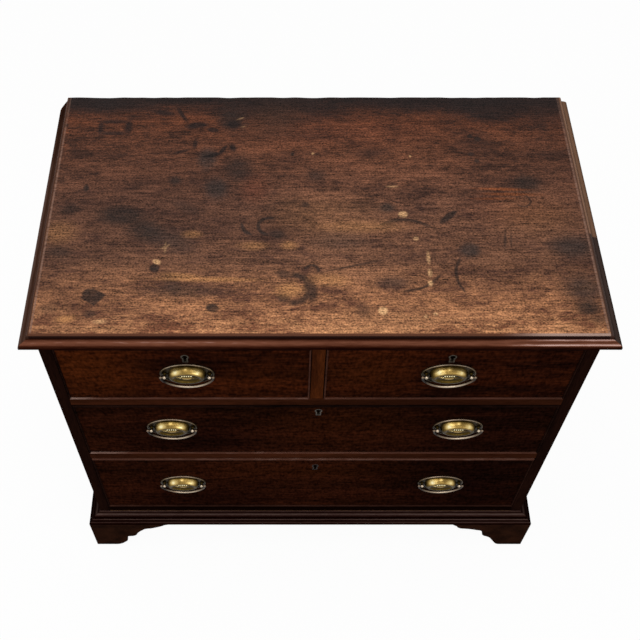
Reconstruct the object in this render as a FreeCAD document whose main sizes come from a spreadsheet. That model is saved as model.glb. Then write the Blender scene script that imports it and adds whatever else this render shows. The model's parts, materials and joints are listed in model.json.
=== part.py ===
"""Bachelor's chest: two short drawers over two long ones, in a moulded mahogany case on bracket feet.

Millimetres. +Z is up, the drawers open towards -Y, and the origin is on the floor under the middle.
"""
import FreeCAD, Part
import os
from dataclasses import dataclass

import Sketcher

# Driving dimensions, one cell of the sheet each
SIZES = {
    # Case
    "case_width": 915.0,
    "case_depth": 524.0,
    "side_thickness": 21.0,
    "housing_depth": 6.0,
    "housing_setback": 14.0,
    "back_thickness": 10.0,
    "back_rebate": 10.0,
    "back_board_gap": 0.8,
    # Heights, from the floor upwards
    "foot_height": 113.0,
    "base_height": 21.5,
    "bottom_thickness": 26.0,
    "lower_opening": 231.0,
    "middle_opening": 190.0,
    "upper_opening": 166.5,
    "rail_height": 23.5,
    "top_rail_height": 24.5,
    "top_thickness": 20.5,
    # Rails, dust boards and the divider of the short drawers
    "rail_depth": 60.0,
    "dust_thickness": 12.0,
    "divider_width": 22.0,
    "partition_thickness": 10.0,
    # Top and its applied edge
    "top_side_overhang": 22.5,
    "top_front_overhang": 20.0,
    "top_back_overhang": 8.0,
    "nosing_radius": 4.0,
    "edge_width": 13.5,
    "edge_height": 11.5,
    # Base moulding and feet
    "base_projection": 24.5,
    "bracket_thickness": 20.0,
    "bracket_length": 170.0,
    "rear_bracket_length": 120.0,
    "block_section": 35.0,
    "block_floor_gap": 2.0,
    "base_rail_depth": 50.0,
    # Drawer boxes
    "drawer_gap": 1.5,
    "front_thickness": 22.0,
    "front_lift": 1.0,
    "bead_thickness": 3.2,
    "bead_depth": 8.5,
    "bead_proud": 3.2,
    "lap_wall": 1.0,
    "drawer_side_thickness": 9.0,
    "drawer_side_drop": 4.0,
    "drawer_back_thickness": 9.0,
    "drawer_back_space": 12.0,
    "drawer_bottom_thickness": 7.0,
    "drawer_bottom_rise": 8.0,
    "drawer_groove": 5.0,
    "stop_length": 40.0,
    "stop_depth": 20.0,
    "stop_height": 5.0,
    "stop_clearance": 0.3,
    # Handles
    "upper_handle_reach": 221.0,
    "long_handle_reach": 264.5,
    "upper_handle_rise": 86.5,
    "middle_handle_rise": 108.0,
    "lower_handle_rise": 119.5,
    "plate_length": 93.0,
    "plate_height": 61.0,
    "plate_thickness": 1.2,
    "lip_width": 2.2,
    "lip_height": 1.0,
    "dome_length": 66.0,
    "dome_height": 43.0,
    "dome_rise": 11.0,
    "well_length": 47.0,
    "well_height": 24.0,
    "well_depth": 3.2,
    "post_spacing": 76.0,
    "post_reach": 8.0,
    "post_ball_radius": 3.4,
    "post_neck_radius": 2.6,
    "collar_radius": 4.4,
    "collar_thickness": 1.2,
    "shank_radius": 2.2,
    "shank_clearance": 0.1,
    "nut_radius": 6.0,
    "nut_thickness": 4.0,
    "bail_width": 88.8,
    "bail_drop": 31.0,
    "bail_radius": 2.3,
    "bail_corner_radius": 20.0,
    "knob_radius": 2.7,
    "pin_radius": 1.6,
    "pin_clearance": 0.06,
    "pin_end": 0.8,
    # Locks
    "upper_key_drop": 29.0,
    "middle_key_drop": 22.0,
    "lower_key_drop": 35.0,
    "long_key_shift": 5.0,
    "lock_width": 60.0,
    "lock_thickness": 11.0,
    "lock_below_key": 16.0,
    "key_sink": 1.5,
    "key_head_radius": 4.4,
    "key_slot_width": 4.8,
    "key_slot_length": 13.6,
    "escutcheon_wall": 2.4,
    "escutcheon_depth": 5.0,
    "bolt_width": 34.0,
    "bolt_thickness": 6.0,
    "bolt_height": 18.0,
    "bolt_clearance": 0.25,
    "mortise_clearance": 0.5,
    "mortise_depth": 10.0,
    # Extra length of every cutting shape
    "overrun": 1.0,
}

BACK_BOARD_COUNT = 5
FRONT_TAIL_COUNT = 3
DEEP_FRONT_TAIL_COUNT = 4
REAR_TAIL_COUNT = 3
NUT_SIDE_COUNT = 4
TAIL_ROOT_SHARE = 0.46
TAIL_END_SHARE = 0.66
STOP_SHARE = 0.3
WELL_FLOOR_SHARE = 0.82
REAR_BRACKET_TOE_SHARE = 0.45
BEAD_NOSE_SHARE = 0.4

# Sections of a handle plate's dome: shares of its length, of its height and of its rise
DOME_SHARES = (
    (1.0, 1.0, 0.0),
    (0.97, 0.95, 0.5),
    (0.91, 0.85, 0.85),
    (0.82, 0.7, 1.0),
)
# Moulding sections: outward share of the width, upward share of the height, bulge of the next stretch
EDGE_SHARES = (
    (0.0, 0.0, 0.0),
    (1.0, 0.0, 0.0),
    (1.0, 0.565, 0.2),
    (0.815, 0.783, 0.07),
    (0.111, 1.0, 0.0),
    (0.0, 1.0, 0.0),
)
BASE_SHARES = (
    (0.0, 0.0, 0.0),
    (1.0, 0.0, 0.0),
    (1.0, 0.204, 0.2),
    (0.953, 0.241, 0.0),
    (0.837, 0.241, 0.0),
    (0.837, 0.519, 0.0),
    (0.651, 0.519, 0.0),
    (0.651, 0.611, 0.2),
    (0.163, 0.907, 0.0),
    (0.116, 0.907, 0.0),
    (0.116, 1.0, 0.0),
    (0.0, 1.0, 0.0),
)
# Bracket outlines: shares of the bracket's length and height from its outer toe, and the next bulge
LEFT_BRACKET_SHARES = (
    (0.0, 0.0, 0.0),
    (0.27, 0.0, 0.1),
    (0.38, 0.12, 0.16),
    (0.42, 0.34, -0.2),
    (0.46, 0.42, 0.0),
    (0.51, 0.43, 0.12),
    (0.57, 0.53, -0.06),
    (0.66, 0.73, -0.14),
    (0.76, 0.81, 0.03),
    (0.93, 0.94, -0.1),
    (1.0, 1.0, 0.0),
    (0.0, 1.0, 0.0),
)
RIGHT_BRACKET_SHARES = (
    (0.0, 0.0, 0.0),
    (0.29, 0.0, 0.14),
    (0.36, 0.08, 0.0),
    (0.43, 0.28, -0.1),
    (0.53, 0.43, 0.14),
    (0.575, 0.61, -0.18),
    (0.66, 0.73, -0.04),
    (0.86, 0.81, 0.16),
    (0.94, 0.92, 0.0),
    (1.0, 1.0, 0.0),
    (0.0, 1.0, 0.0),
)

X_AXIS = FreeCAD.Vector(1, 0, 0)
Y_AXIS = FreeCAD.Vector(0, 1, 0)
Z_AXIS = FreeCAD.Vector(0, 0, 1)
NO_TURN = FreeCAD.Rotation()
HORIZONTAL_LINE = -1
VERTICAL_LINE = -2
SAME_PLACE = 1e-6


class Size:
    """A length worked out from the sheet: its value now, and the expression that keeps it so."""

    def __init__(self, value, text):
        self.value = value
        self.text = text

    def __add__(self, other):
        return Size(self.value + value_of(other), f"({self.text} + {text_of(other)})")

    def __radd__(self, other):
        return self + other

    def __sub__(self, other):
        return Size(self.value - value_of(other), f"({self.text} - {text_of(other)})")

    def __rsub__(self, other):
        return Size(value_of(other) - self.value, f"({text_of(other)} - {self.text})")

    def __mul__(self, other):
        return Size(self.value * value_of(other), f"({self.text} * {text_of(other)})")

    def __rmul__(self, other):
        return self * other

    def __truediv__(self, other):
        return Size(self.value / value_of(other), f"({self.text} / {text_of(other)})")

    def __neg__(self):
        return self * -1


def value_of(size):
    """The plain number of a size or of a number."""
    return size.value if isinstance(size, Size) else float(size)


def text_of(size):
    """The expression text of a size or of a number."""
    return size.text if isinstance(size, Size) else repr(float(size))


def reach_of(across, up):
    """The straight distance over two sizes at right angles."""
    square = across * across + up * up
    return Size(square.value ** 0.5, f"sqrt({square.text})")


doc = FreeCAD.newDocument("BachelorsChest")
sheet = doc.addObject("Spreadsheet::Sheet", "Sizes")
for row, (alias, number) in enumerate(SIZES.items(), start=1):
    sheet.set(f"A{row}", alias)
    sheet.set(f"B{row}", str(number))
    sheet.setAlias(f"B{row}", alias)
doc.recompute()
sizes = {alias: Size(number, f"Sizes.{alias}") for alias, number in SIZES.items()}
nodes = {}


def get(alias):
    """The size held by one cell of the sheet."""
    return sizes[alias]


def node(label, item):
    """Name an item as one sub-part of the chest."""
    item.Label = label
    nodes[label] = item
    return item


def place(item, x, y, z, turn=NO_TURN):
    """Turn an item and tie its place to the sheet."""
    item.Placement = FreeCAD.Placement(FreeCAD.Vector(), turn)
    for letter, size in zip("xyz", (x, y, z)):
        item.setExpression(f"Placement.Base.{letter}", text_of(size))
    return item


def box(name, low, lengths):
    """A square-edged board from its low corner and its three lengths."""
    item = doc.addObject("Part::Box", name)
    for side, size in zip(("Length", "Width", "Height"), lengths):
        item.setExpression(side, size.text)
    return place(item, *low)


def rod(name, radius, length, start, turn):
    """A cylinder from the middle of its first end."""
    item = doc.addObject("Part::Cylinder", name)
    item.setExpression("Radius", radius.text)
    item.setExpression("Height", length.text)
    return place(item, *start, turn)


def ball(name, radius, middle):
    """A full sphere."""
    item = doc.addObject("Part::Sphere", name)
    item.setExpression("Radius", radius.text)
    return place(item, *middle)


def fuse(name, *items):
    """Items that are one piece of material."""
    item = doc.addObject("Part::MultiFuse", name)
    item.Shapes = list(items)
    return item


def group(name, *items):
    """Separate solids that share one sub-part."""
    item = doc.addObject("Part::Compound", name)
    item.Links = list(items)
    return item


def cut(name, base, *tools):
    """A piece with each tool's shape taken out of it."""
    for index, tool in enumerate(tools, start=1):
        item = doc.addObject("Part::Cut", f"{name}_{index}")
        item.Base = base
        item.Tool = tool
        base = item
    return base


def mirrored(name, source, middle):
    """The other hand of a piece, across an upright plane at x = middle."""
    item = doc.addObject("Part::Mirroring", name)
    item.Source = source
    item.Normal = X_AXIS
    item.setExpression("Base.x", text_of(middle))
    return item


def new_body(name):
    """An empty piece to be drawn and padded."""
    return doc.addObject("PartDesign::Body", name)


def flat_sketch(body, name, role):
    """A sketch on one of a body's own origin planes."""
    sketch = body.newObject("Sketcher::SketchObject", name)
    plane = next(item for item in body.Origin.OriginFeatures if item.Role == role)
    sketch.AttachmentSupport = [(plane, "")]
    sketch.MapMode = "FlatFace"
    return sketch


def pins(piece, position, across, up):
    """Constraints, each with its expression, that hold one end of a sketch piece in place."""
    held = []
    for kind, line, size in (("DistanceX", VERTICAL_LINE, across), ("DistanceY", HORIZONTAL_LINE, up)):
        if not isinstance(size, Size):
            held.append((Sketcher.Constraint("PointOnObject", piece, position, line), None))
        elif size.value < 0:
            held.append((Sketcher.Constraint(kind, piece, position, -1, 1, -size.value), (-size).text))
        else:
            held.append((Sketcher.Constraint(kind, -1, 1, piece, position, size.value), size.text))
    return held


def constrain(sketch, held):
    """Add constraints to a sketch in one go and tie their values to the sheet."""
    first = sketch.ConstraintCount
    sketch.addConstraint([constraint for constraint, _ in held])
    for index, (_, text) in enumerate(held, start=first):
        if text:
            sketch.setExpression(f"Constraints[{index}]", text)


def turning_of(points):
    """1 where an outline runs anticlockwise, -1 where it runs clockwise."""
    corners = [(value_of(across), value_of(up)) for across, up, _ in points]
    following = corners[1:] + corners[:1]
    twice_area = sum(x * next_y - next_x * y for (x, y), (next_x, next_y) in zip(corners, following))
    return 1 if twice_area > 0 else -1


def outline(body, name, role, points):
    """A closed outline; each point is across, up and the outward bulge of the stretch after it."""
    sketch = flat_sketch(body, name, role)
    turning = turning_of(points)
    ends = []
    held = []
    for index, (across, up, bulge_share) in enumerate(points):
        next_across, next_up, _ = points[(index + 1) % len(points)]
        start = FreeCAD.Vector(value_of(across), value_of(up), 0)
        end = FreeCAD.Vector(value_of(next_across), value_of(next_up), 0)
        if not bulge_share:
            piece = sketch.addGeometry(Part.LineSegment(start, end), False)
            ends.append((piece, 1, 2))
            continue
        chord = end - start
        rightward_share = bulge_share * turning
        middle = (start + end) / 2 + FreeCAD.Vector(chord.y, -chord.x, 0) * rightward_share
        if rightward_share > 0:
            piece = sketch.addGeometry(Part.Arc(start, middle, end), False)
            ends.append((piece, 1, 2))
        else:
            piece = sketch.addGeometry(Part.Arc(end, middle, start), False)
            ends.append((piece, 2, 1))
        bend_share = (1 + 4 * bulge_share ** 2) / (8 * abs(bulge_share))
        radius = reach_of(next_across - across, next_up - up) * bend_share
        held.append((Sketcher.Constraint("Radius", piece, radius.value), radius.text))
    for index, (piece, first, last) in enumerate(ends):
        after, after_first, _ = ends[(index + 1) % len(ends)]
        held.append((Sketcher.Constraint("Coincident", piece, last, after, after_first), None))
        held.extend(pins(piece, first, points[index][0], points[index][1]))
    constrain(sketch, held)
    return sketch


def pad(body, sketch, length, backwards=False):
    """Thicken an outline into a solid."""
    item = body.newObject("PartDesign::Pad", f"{sketch.Name}_pad")
    item.Profile = sketch
    item.Reversed = backwards
    item.setExpression("Length", length.text)
    return item


def pocket_upwards(body, sketch):
    """Cut an outline out of everything above it."""
    item = body.newObject("PartDesign::Pocket", f"{sketch.Name}_pocket")
    item.Profile = sketch
    item.Type = "ThroughAll"
    item.Reversed = True
    return item


def moulding(name, shares, width, height, length, mitred_start, mitred_end):
    """A length of moulding along +X, its outer face on y = 0, with 45 degree mitres where asked."""
    body = new_body(name)
    points = [
        ((1 - out_share) * width if out_share < 1 else 0, up_share * height if up_share else 0, bulge_share)
        for out_share, up_share, bulge_share in shares
    ]
    pad(body, outline(body, f"{name}_section", "YZ_Plane", points), length)
    if mitred_start:
        corner = [(0, 0, 0), (width, width, 0), (0, width, 0)]
        pocket_upwards(body, outline(body, f"{name}_start", "XY_Plane", corner))
    if mitred_end:
        corner = [(length, 0, 0), (length, width, 0), (length - width, width, 0)]
        pocket_upwards(body, outline(body, f"{name}_end", "XY_Plane", corner))
    return body


def bracket(name, shares, length, flipped, mitred):
    """A foot bracket along +X, or -X when flipped, from its outer toe, its outer face on y = 0."""
    body = new_body(name)
    run = -length if flipped else length
    points = [
        (along_share * run if along_share else 0, up_share * foot_height if up_share else 0, bulge_share)
        for along_share, up_share, bulge_share in shares
    ]
    thickness = get("bracket_thickness")
    pad(body, outline(body, f"{name}_outline", "XZ_Plane", points), thickness, backwards=True)
    if mitred:
        inner = -thickness if flipped else thickness
        corner = [(0, 0, 0), (inner, thickness, 0), (0, thickness, 0)]
        pocket_upwards(body, outline(body, f"{name}_mitre", "XY_Plane", corner))
    return body


# Places worked out from the driving dimensions
foot_height = get("foot_height")
base_out = get("base_projection")
half_case = get("case_width") / 2
half_inside = half_case - get("side_thickness")
front_y = (base_out - get("case_depth") - get("top_back_overhang")) / 2
back_y = front_y + get("case_depth")
inside_back_y = back_y - get("back_thickness")
bottom_z = foot_height + get("base_height")
lower_z = bottom_z + get("bottom_thickness")
lower_rail_z = lower_z + get("lower_opening")
middle_z = lower_rail_z + get("rail_height")
upper_rail_z = middle_z + get("middle_opening")
upper_z = upper_rail_z + get("rail_height")
top_rail_z = upper_z + get("upper_opening")
case_top_z = top_rail_z + get("top_rail_height")
key_y = front_y + get("front_thickness") - get("lock_thickness") / 2
drawer_length = inside_back_y - get("drawer_back_space") - front_y
turn_left = FreeCAD.Rotation(Z_AXIS, 90)
turn_right = FreeCAD.Rotation(Z_AXIS, -90)
turn_back = FreeCAD.Rotation(Z_AXIS, 180)
along_y = FreeCAD.Rotation(X_AXIS, -90)
along_x = FreeCAD.Rotation(Y_AXIS, 90)
faces_front = FreeCAD.Rotation(X_AXIS, 90)


def make_top():
    """The top board with its nosing, and the moulding planted round its front and ends."""
    edge = get("edge_width")
    side_out = get("top_side_overhang") - edge
    front_out = get("top_front_overhang") - edge
    width = get("case_width") + 2 * side_out
    depth = front_out + get("case_depth") + get("top_back_overhang")
    body = new_body("top_board")
    board = [(0, 0, 0), (width, 0, 0), (width, depth, 0), (0, depth, 0)]
    base = pad(body, outline(body, "top_outline", "XY_Plane", board), get("top_thickness"))
    doc.recompute()
    nosing = body.newObject("PartDesign::Fillet", "top_nosing")
    nosing.Base = (base, nosed_edges(base.Shape))
    nosing.setExpression("Radius", get("nosing_radius").text)
    node("top_board", place(body, -width / 2, front_y - front_out, case_top_z))

    out_x = half_case + get("top_side_overhang")
    out_y = front_y - get("top_front_overhang")
    run_y = get("top_front_overhang") + get("case_depth") + get("top_back_overhang")
    height = get("edge_height")
    front = moulding("edge_front", EDGE_SHARES, edge, height, 2 * out_x, True, True)
    node("edge_moulding_front", place(front, -out_x, out_y, case_top_z))
    left = moulding("edge_left", EDGE_SHARES, edge, height, run_y, False, True)
    node("edge_moulding_left", place(left, -out_x, out_y + run_y, case_top_z, turn_right))
    right = moulding("edge_right", EDGE_SHARES, edge, height, run_y, True, False)
    node("edge_moulding_right", place(right, out_x, out_y, case_top_z, turn_left))


def nosed_edges(shape):
    """Names of the top board's upper edges along its front and its two ends."""
    bounds = shape.BoundBox
    names = []
    for index, edge in enumerate(shape.Edges, start=1):
        middle = edge.BoundBox.Center
        upper = abs(middle.z - bounds.ZMax) < SAME_PLACE
        rear = abs(middle.y - bounds.YMax) < SAME_PLACE
        if upper and not rear:
            names.append(f"Edge{index}")
    return names


def housed_board(name, y, z, depth, height):
    """A board between the case sides, with its ends let into them behind the front edge."""
    setback = get("housing_setback")
    reach = half_inside + get("housing_depth")
    shown = box(f"{name}_shown", (-half_inside, y, z), (2 * half_inside, depth, height))
    let_in = box(f"{name}_let_in", (-reach, y + setback, z), (2 * reach, depth - setback, height))
    return fuse(f"{name}_board", shown, let_in)


def mortise(name, x, z):
    """The hole in a rail's underside that takes a lock's bolt."""
    room = get("mortise_clearance")
    width = get("bolt_width") + 2 * room
    thickness = get("bolt_thickness") + 2 * room
    low = (x - width / 2, key_y - thickness / 2, z - get("overrun"))
    return box(name, low, (width, thickness, get("mortise_depth") + get("overrun")))


def make_case():
    """Sides, rails, dust boards, bottom, divider and back."""
    rail_depth = get("rail_depth")
    rail_height = get("rail_height")
    tenon = get("housing_depth")
    stile_width = get("divider_width")
    stile_low = (-stile_width / 2, front_y, upper_z)
    stile_shown = box("stile_shown", stile_low, (stile_width, rail_depth, get("upper_opening")))
    stile_tenons = box(
        "stile_tenons",
        (-stile_width / 2, front_y + get("housing_setback"), upper_z - tenon),
        (stile_width, rail_depth - get("housing_setback"), get("upper_opening") + 2 * tenon),
    )
    stile = fuse("stile", stile_shown, stile_tenons)
    dust_y = front_y + rail_depth
    dust_depth = inside_back_y - dust_y
    thin = get("partition_thickness")
    partition = box("partition", (-thin / 2, dust_y, upper_z), (thin, dust_depth, get("upper_opening")))
    node("centre_divider", group("divider", stile, partition))

    reach = get("upper_handle_reach")
    key_shift = get("long_key_shift")
    top_front = cut(
        "top_rail_front",
        housed_board("top_rail", front_y, top_rail_z, rail_depth, get("top_rail_height")),
        stile,
        mortise("mortise_upper_left", -reach, top_rail_z),
        mortise("mortise_upper_right", reach, top_rail_z),
    )
    top_rear = box(
        "top_rail_rear",
        (-half_inside, inside_back_y - rail_depth, top_rail_z),
        (2 * half_inside, rail_depth, get("top_rail_height")),
    )
    node("top_rails", group("top_rail_pair", top_front, top_rear))

    upper_rail = cut(
        "upper_rail",
        housed_board("upper_rail", front_y, upper_rail_z, rail_depth, rail_height),
        stile,
        mortise("mortise_middle", key_shift, upper_rail_z),
    )
    lower_rail = cut(
        "lower_rail",
        housed_board("lower_rail", front_y, lower_rail_z, rail_depth, rail_height),
        mortise("mortise_lower", key_shift, lower_rail_z),
    )
    node("drawer_rails", group("rail_pair", upper_rail, lower_rail))

    dust = get("dust_thickness")
    let_in = half_inside + tenon
    dust_boards = [
        box(f"dust_{index}", (-let_in, dust_y, floor - dust), (2 * let_in, dust_depth, dust))
        for index, floor in enumerate((middle_z, upper_z))
    ]
    node("dust_boards", group("dust_pair", *dust_boards))

    bottom = housed_board("bottom", front_y, bottom_z, inside_back_y - front_y, get("bottom_thickness"))
    node("bottom_board", bottom)
    base_depth = get("base_rail_depth")
    base_lengths = (2 * half_inside, base_depth, get("base_height"))
    base_front = box("base_rail_front", (-half_inside, front_y, foot_height), base_lengths)
    base_rear = box("base_rail_rear", (-half_inside, inside_back_y - base_depth, foot_height), base_lengths)
    node("base_rails", group("base_rail_pair", base_front, base_rear))

    gap = get("back_board_gap")
    back_half = half_inside + get("back_rebate")
    pitch = (2 * back_half + gap) / BACK_BOARD_COUNT
    boards = [
        box(
            f"back_board_{index}",
            (index * pitch - back_half, inside_back_y, foot_height),
            (pitch - gap, get("back_thickness"), case_top_z - foot_height),
        )
        for index in range(BACK_BOARD_COUNT)
    ]
    node("back_boards", group("back_panel", *boards))

    lengths = (get("side_thickness"), get("case_depth"), case_top_z - foot_height)
    housed = [top_front, upper_rail, lower_rail, *dust_boards, bottom]
    left = box("side_left_board", (-half_case, front_y, foot_height), lengths)
    node("case_side_left", cut("side_left", left, *housed, boards[0]))
    right = box("side_right_board", (half_inside, front_y, foot_height), lengths)
    node("case_side_right", cut("side_right", right, *housed, boards[-1]))


def make_base():
    """The base moulding, the bracket feet and the blocks glued behind them."""
    height = get("base_height")
    out_x = half_case + base_out
    out_y = front_y - base_out
    run_y = base_out + get("case_depth")
    front = moulding("base_front", BASE_SHARES, base_out, height, 2 * out_x, True, True)
    node("base_moulding_front", place(front, -out_x, out_y, foot_height))
    left = moulding("base_left", BASE_SHARES, base_out, height, run_y, False, True)
    node("base_moulding_left", place(left, -out_x, back_y, foot_height, turn_right))
    right = moulding("base_right", BASE_SHARES, base_out, height, run_y, True, False)
    node("base_moulding_right", place(right, out_x, out_y, foot_height, turn_left))

    length = get("bracket_length")
    rear_length = get("rear_bracket_length")
    plain_shares = ((0.0, 0.0, 0.0), (REAR_BRACKET_TOE_SHARE, 0.0, 0.0), (1.0, 1.0, 0.0), (0.0, 1.0, 0.0))
    butt_x = out_x - get("bracket_thickness")
    feet = {"left": (-1, LEFT_BRACKET_SHARES), "right": (1, RIGHT_BRACKET_SHARES)}
    for hand, (sign, shares) in feet.items():
        is_left = sign < 0
        turn = turn_right if is_left else turn_left
        facing = bracket(f"foot_{hand}_front", shares, length, not is_left, True)
        place(facing, sign * out_x, out_y, 0)
        siding = bracket(f"foot_{hand}_side", shares, length, is_left, True)
        place(siding, sign * out_x, out_y, 0, turn)
        node(f"foot_front_{hand}", group(f"foot_front_{hand}_pair", facing, siding))
        rear_siding = bracket(f"foot_{hand}_rear_side", shares, length, not is_left, False)
        place(rear_siding, sign * out_x, back_y, 0, turn)
        rear_facing = bracket(f"foot_{hand}_rear", plain_shares, rear_length, is_left, False)
        place(rear_facing, sign * butt_x, back_y, 0, turn_back)
        node(f"foot_rear_{hand}", group(f"foot_rear_{hand}_pair", rear_siding, rear_facing))

    section = get("block_section")
    lift = get("block_floor_gap")
    rows = (out_y + get("bracket_thickness"), back_y - get("bracket_thickness") - section)
    blocks = [
        box(f"block_{index}", (x, y, lift), (section, section, foot_height - lift))
        for index, (x, y) in enumerate((x, y) for x in (-butt_x, butt_x - section) for y in rows)
    ]
    node("glue_blocks", group("block_set", *blocks))


@dataclass
class Drawer:
    """Where one drawer goes and what it carries."""

    name: str
    left: Size
    right: Size
    floor: Size
    opening: Size
    handle_rise: Size
    key_x: Size
    key_drop: Size
    handles: dict
    tail_count: int


def side_points(drawer, side_height):
    """Outline of a drawer side from its low front shoulder: lapped tails in front, through tails behind."""
    shoulder = get("front_thickness")
    tail_end = get("bead_depth") + get("lap_wall")
    rear_shoulder = drawer_length - get("drawer_back_thickness")
    seat = get("drawer_bottom_rise") + get("drawer_bottom_thickness")
    points = [(shoulder, 0, 0), (drawer_length, 0, 0), (drawer_length, seat, 0), (rear_shoulder, seat, 0)]
    points += tail_points(seat, side_height, REAR_TAIL_COUNT, rear_shoulder, drawer_length)
    points += [(rear_shoulder, side_height, 0), (shoulder, side_height, 0)]
    points += reversed(tail_points(0, side_height, drawer.tail_count, shoulder, tail_end))
    return points


def tail_points(low, high, count, root, end):
    """Corners of a row of dovetails between two heights, from the lowest up."""
    pitch = (high - low) / count
    points = []
    for index in range(count):
        middle = low + pitch * index + pitch / 2
        points.append((root, middle - pitch * TAIL_ROOT_SHARE / 2, 0))
        points.append((end, middle - pitch * TAIL_END_SHARE / 2, 0))
        points.append((end, middle + pitch * TAIL_END_SHARE / 2, 0))
        points.append((root, middle + pitch * TAIL_ROOT_SHARE / 2, 0))
    return points


def bead_strips(name, left, right, low, high):
    """The four mitred cock beads that frame a drawer front."""
    thickness = get("bead_thickness")
    depth = get("bead_depth") + get("bead_proud")
    nose_share = 1 - thickness / depth / 2
    shares = (
        (0.0, 0.0, 0.0),
        (1.0, 0.0, 0.0),
        (1.0, nose_share, BEAD_NOSE_SHARE),
        (0.0, nose_share, 0.0),
    )
    back = front_y + get("bead_depth")
    runs = (
        ("bottom", right - left, left, low, 0),
        ("right", high - low, right, low, -90),
        ("top", right - left, right, high, 180),
        ("left", high - low, left, high, 90),
    )
    strips = []
    for edge, length, x, z, angle in runs:
        strip = moulding(f"{name}_bead_{edge}", shares, thickness, depth, length, True, True)
        strips.append(place(strip, x, back, z, FreeCAD.Rotation(Y_AXIS, angle) * faces_front))
    return strips


def keyhole(name, x, y, z, wall, depth):
    """A keyhole outline, widened by a wall, as a solid that reaches back by a depth."""
    radius = get("key_head_radius") + wall
    width = get("key_slot_width") + 2 * wall
    length = get("key_slot_length") + wall
    head = rod(f"{name}_head", radius, depth, (x, y, z), along_y)
    slot = box(f"{name}_slot", (x - width / 2, y, z - length), (width, depth, length))
    return fuse(name, head, slot)


def make_lock(drawer, front_top):
    """The lock with its escutcheon, and its bolt; returns what is cut out of the drawer front."""
    name = drawer.name
    x = drawer.key_x
    thickness = get("lock_thickness")
    lock_y = front_y + get("front_thickness") - thickness
    key_z = drawer.floor + drawer.opening - drawer.key_drop
    low_z = key_z - get("lock_below_key")
    wall = get("escutcheon_wall")
    overrun = get("overrun")
    half_width = get("lock_width") / 2
    case_lengths = (2 * half_width, thickness, front_top - low_z)
    case = box(f"{name}_lock_case", (x - half_width, lock_y, low_z), case_lengths)
    key_depth = lock_y + get("key_sink") - front_y
    key_hole = keyhole(f"{name}_key", x, front_y - overrun, key_z, 0, key_depth + overrun)
    room = get("bolt_clearance")
    bolt_width = get("bolt_width")
    bolt_thickness = get("bolt_thickness")
    bolt_z = front_top - get("bolt_height")
    slot = box(
        f"{name}_bolt_slot",
        (x - bolt_width / 2 - room, key_y - bolt_thickness / 2 - room, bolt_z),
        (bolt_width + 2 * room, bolt_thickness + 2 * room, get("bolt_height") + overrun),
    )
    depth = get("escutcheon_depth")
    liner_room = keyhole(f"{name}_liner", x, front_y, key_z, wall, depth)
    liner = cut(f"{name}_escutcheon", liner_room, key_hole)
    lock = cut(f"{name}_lock_body", case, slot, key_hole)
    node(f"{name}_lock", group(f"{name}_lock_set", lock, liner))
    bolt_low = (x - bolt_width / 2, key_y - bolt_thickness / 2, bolt_z)
    bolt = box(f"{name}_bolt", bolt_low, (bolt_width, bolt_thickness, get("bolt_height")))
    node(f"{name}_lock_bolt", bolt)
    return [case, liner_room, key_hole]


def oval(name, length, height, x, out, z):
    """An upright oval line in front of the drawer fronts, by its distance out from them."""
    item = doc.addObject("Part::Ellipse", name)
    item.setExpression("MajorRadius", (length / 2).text)
    item.setExpression("MinorRadius", (height / 2).text)
    return place(item, x, front_y - out, z, faces_front)


def oval_solid(name, x, z, sections):
    """A solid through oval sections, each a length, a height and a distance out from the drawer front."""
    item = doc.addObject("Part::Loft", name)
    item.Sections = [
        oval(f"{name}_{index}", length, height, x, out, z)
        for index, (length, height, out) in enumerate(sections)
    ]
    item.Solid = True
    item.Ruled = True
    return item


def make_plate(name, x, z):
    """The stamped oval plate: a lip round its edge and a dome with a sunk middle."""
    length = get("plate_length")
    height = get("plate_height")
    face = get("plate_thickness")
    lip = face + get("lip_height")
    inside = 2 * get("lip_width")
    overrun = get("overrun")
    blank = oval_solid(f"{name}_blank", x, z, ((length, height, 0), (length, height, lip)))
    dished = (length - inside, height - inside)
    dish = oval_solid(f"{name}_dish", x, z, ((*dished, face), (*dished, lip + overrun)))
    dome_length = get("dome_length")
    dome_height = get("dome_height")
    crest = face + get("dome_rise")
    sections = [(dome_length, dome_height, 0)]
    for length_share, height_share, rise_share in DOME_SHARES:
        out = face + get("dome_rise") * rise_share
        sections.append((dome_length * length_share, dome_height * height_share, out))
    dome = oval_solid(f"{name}_dome", x, z, sections)
    well_length = get("well_length")
    well_height = get("well_height")
    well = oval_solid(f"{name}_well", x, z, (
        (well_length * WELL_FLOOR_SHARE, well_height * WELL_FLOOR_SHARE, crest - get("well_depth")),
        (well_length, well_height, crest),
        (well_length, well_height, crest + overrun),
    ))
    raised = fuse(f"{name}_raised", cut(f"{name}_dished", blank, dish), dome)
    return cut(f"{name}_stamped", raised, well)


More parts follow.
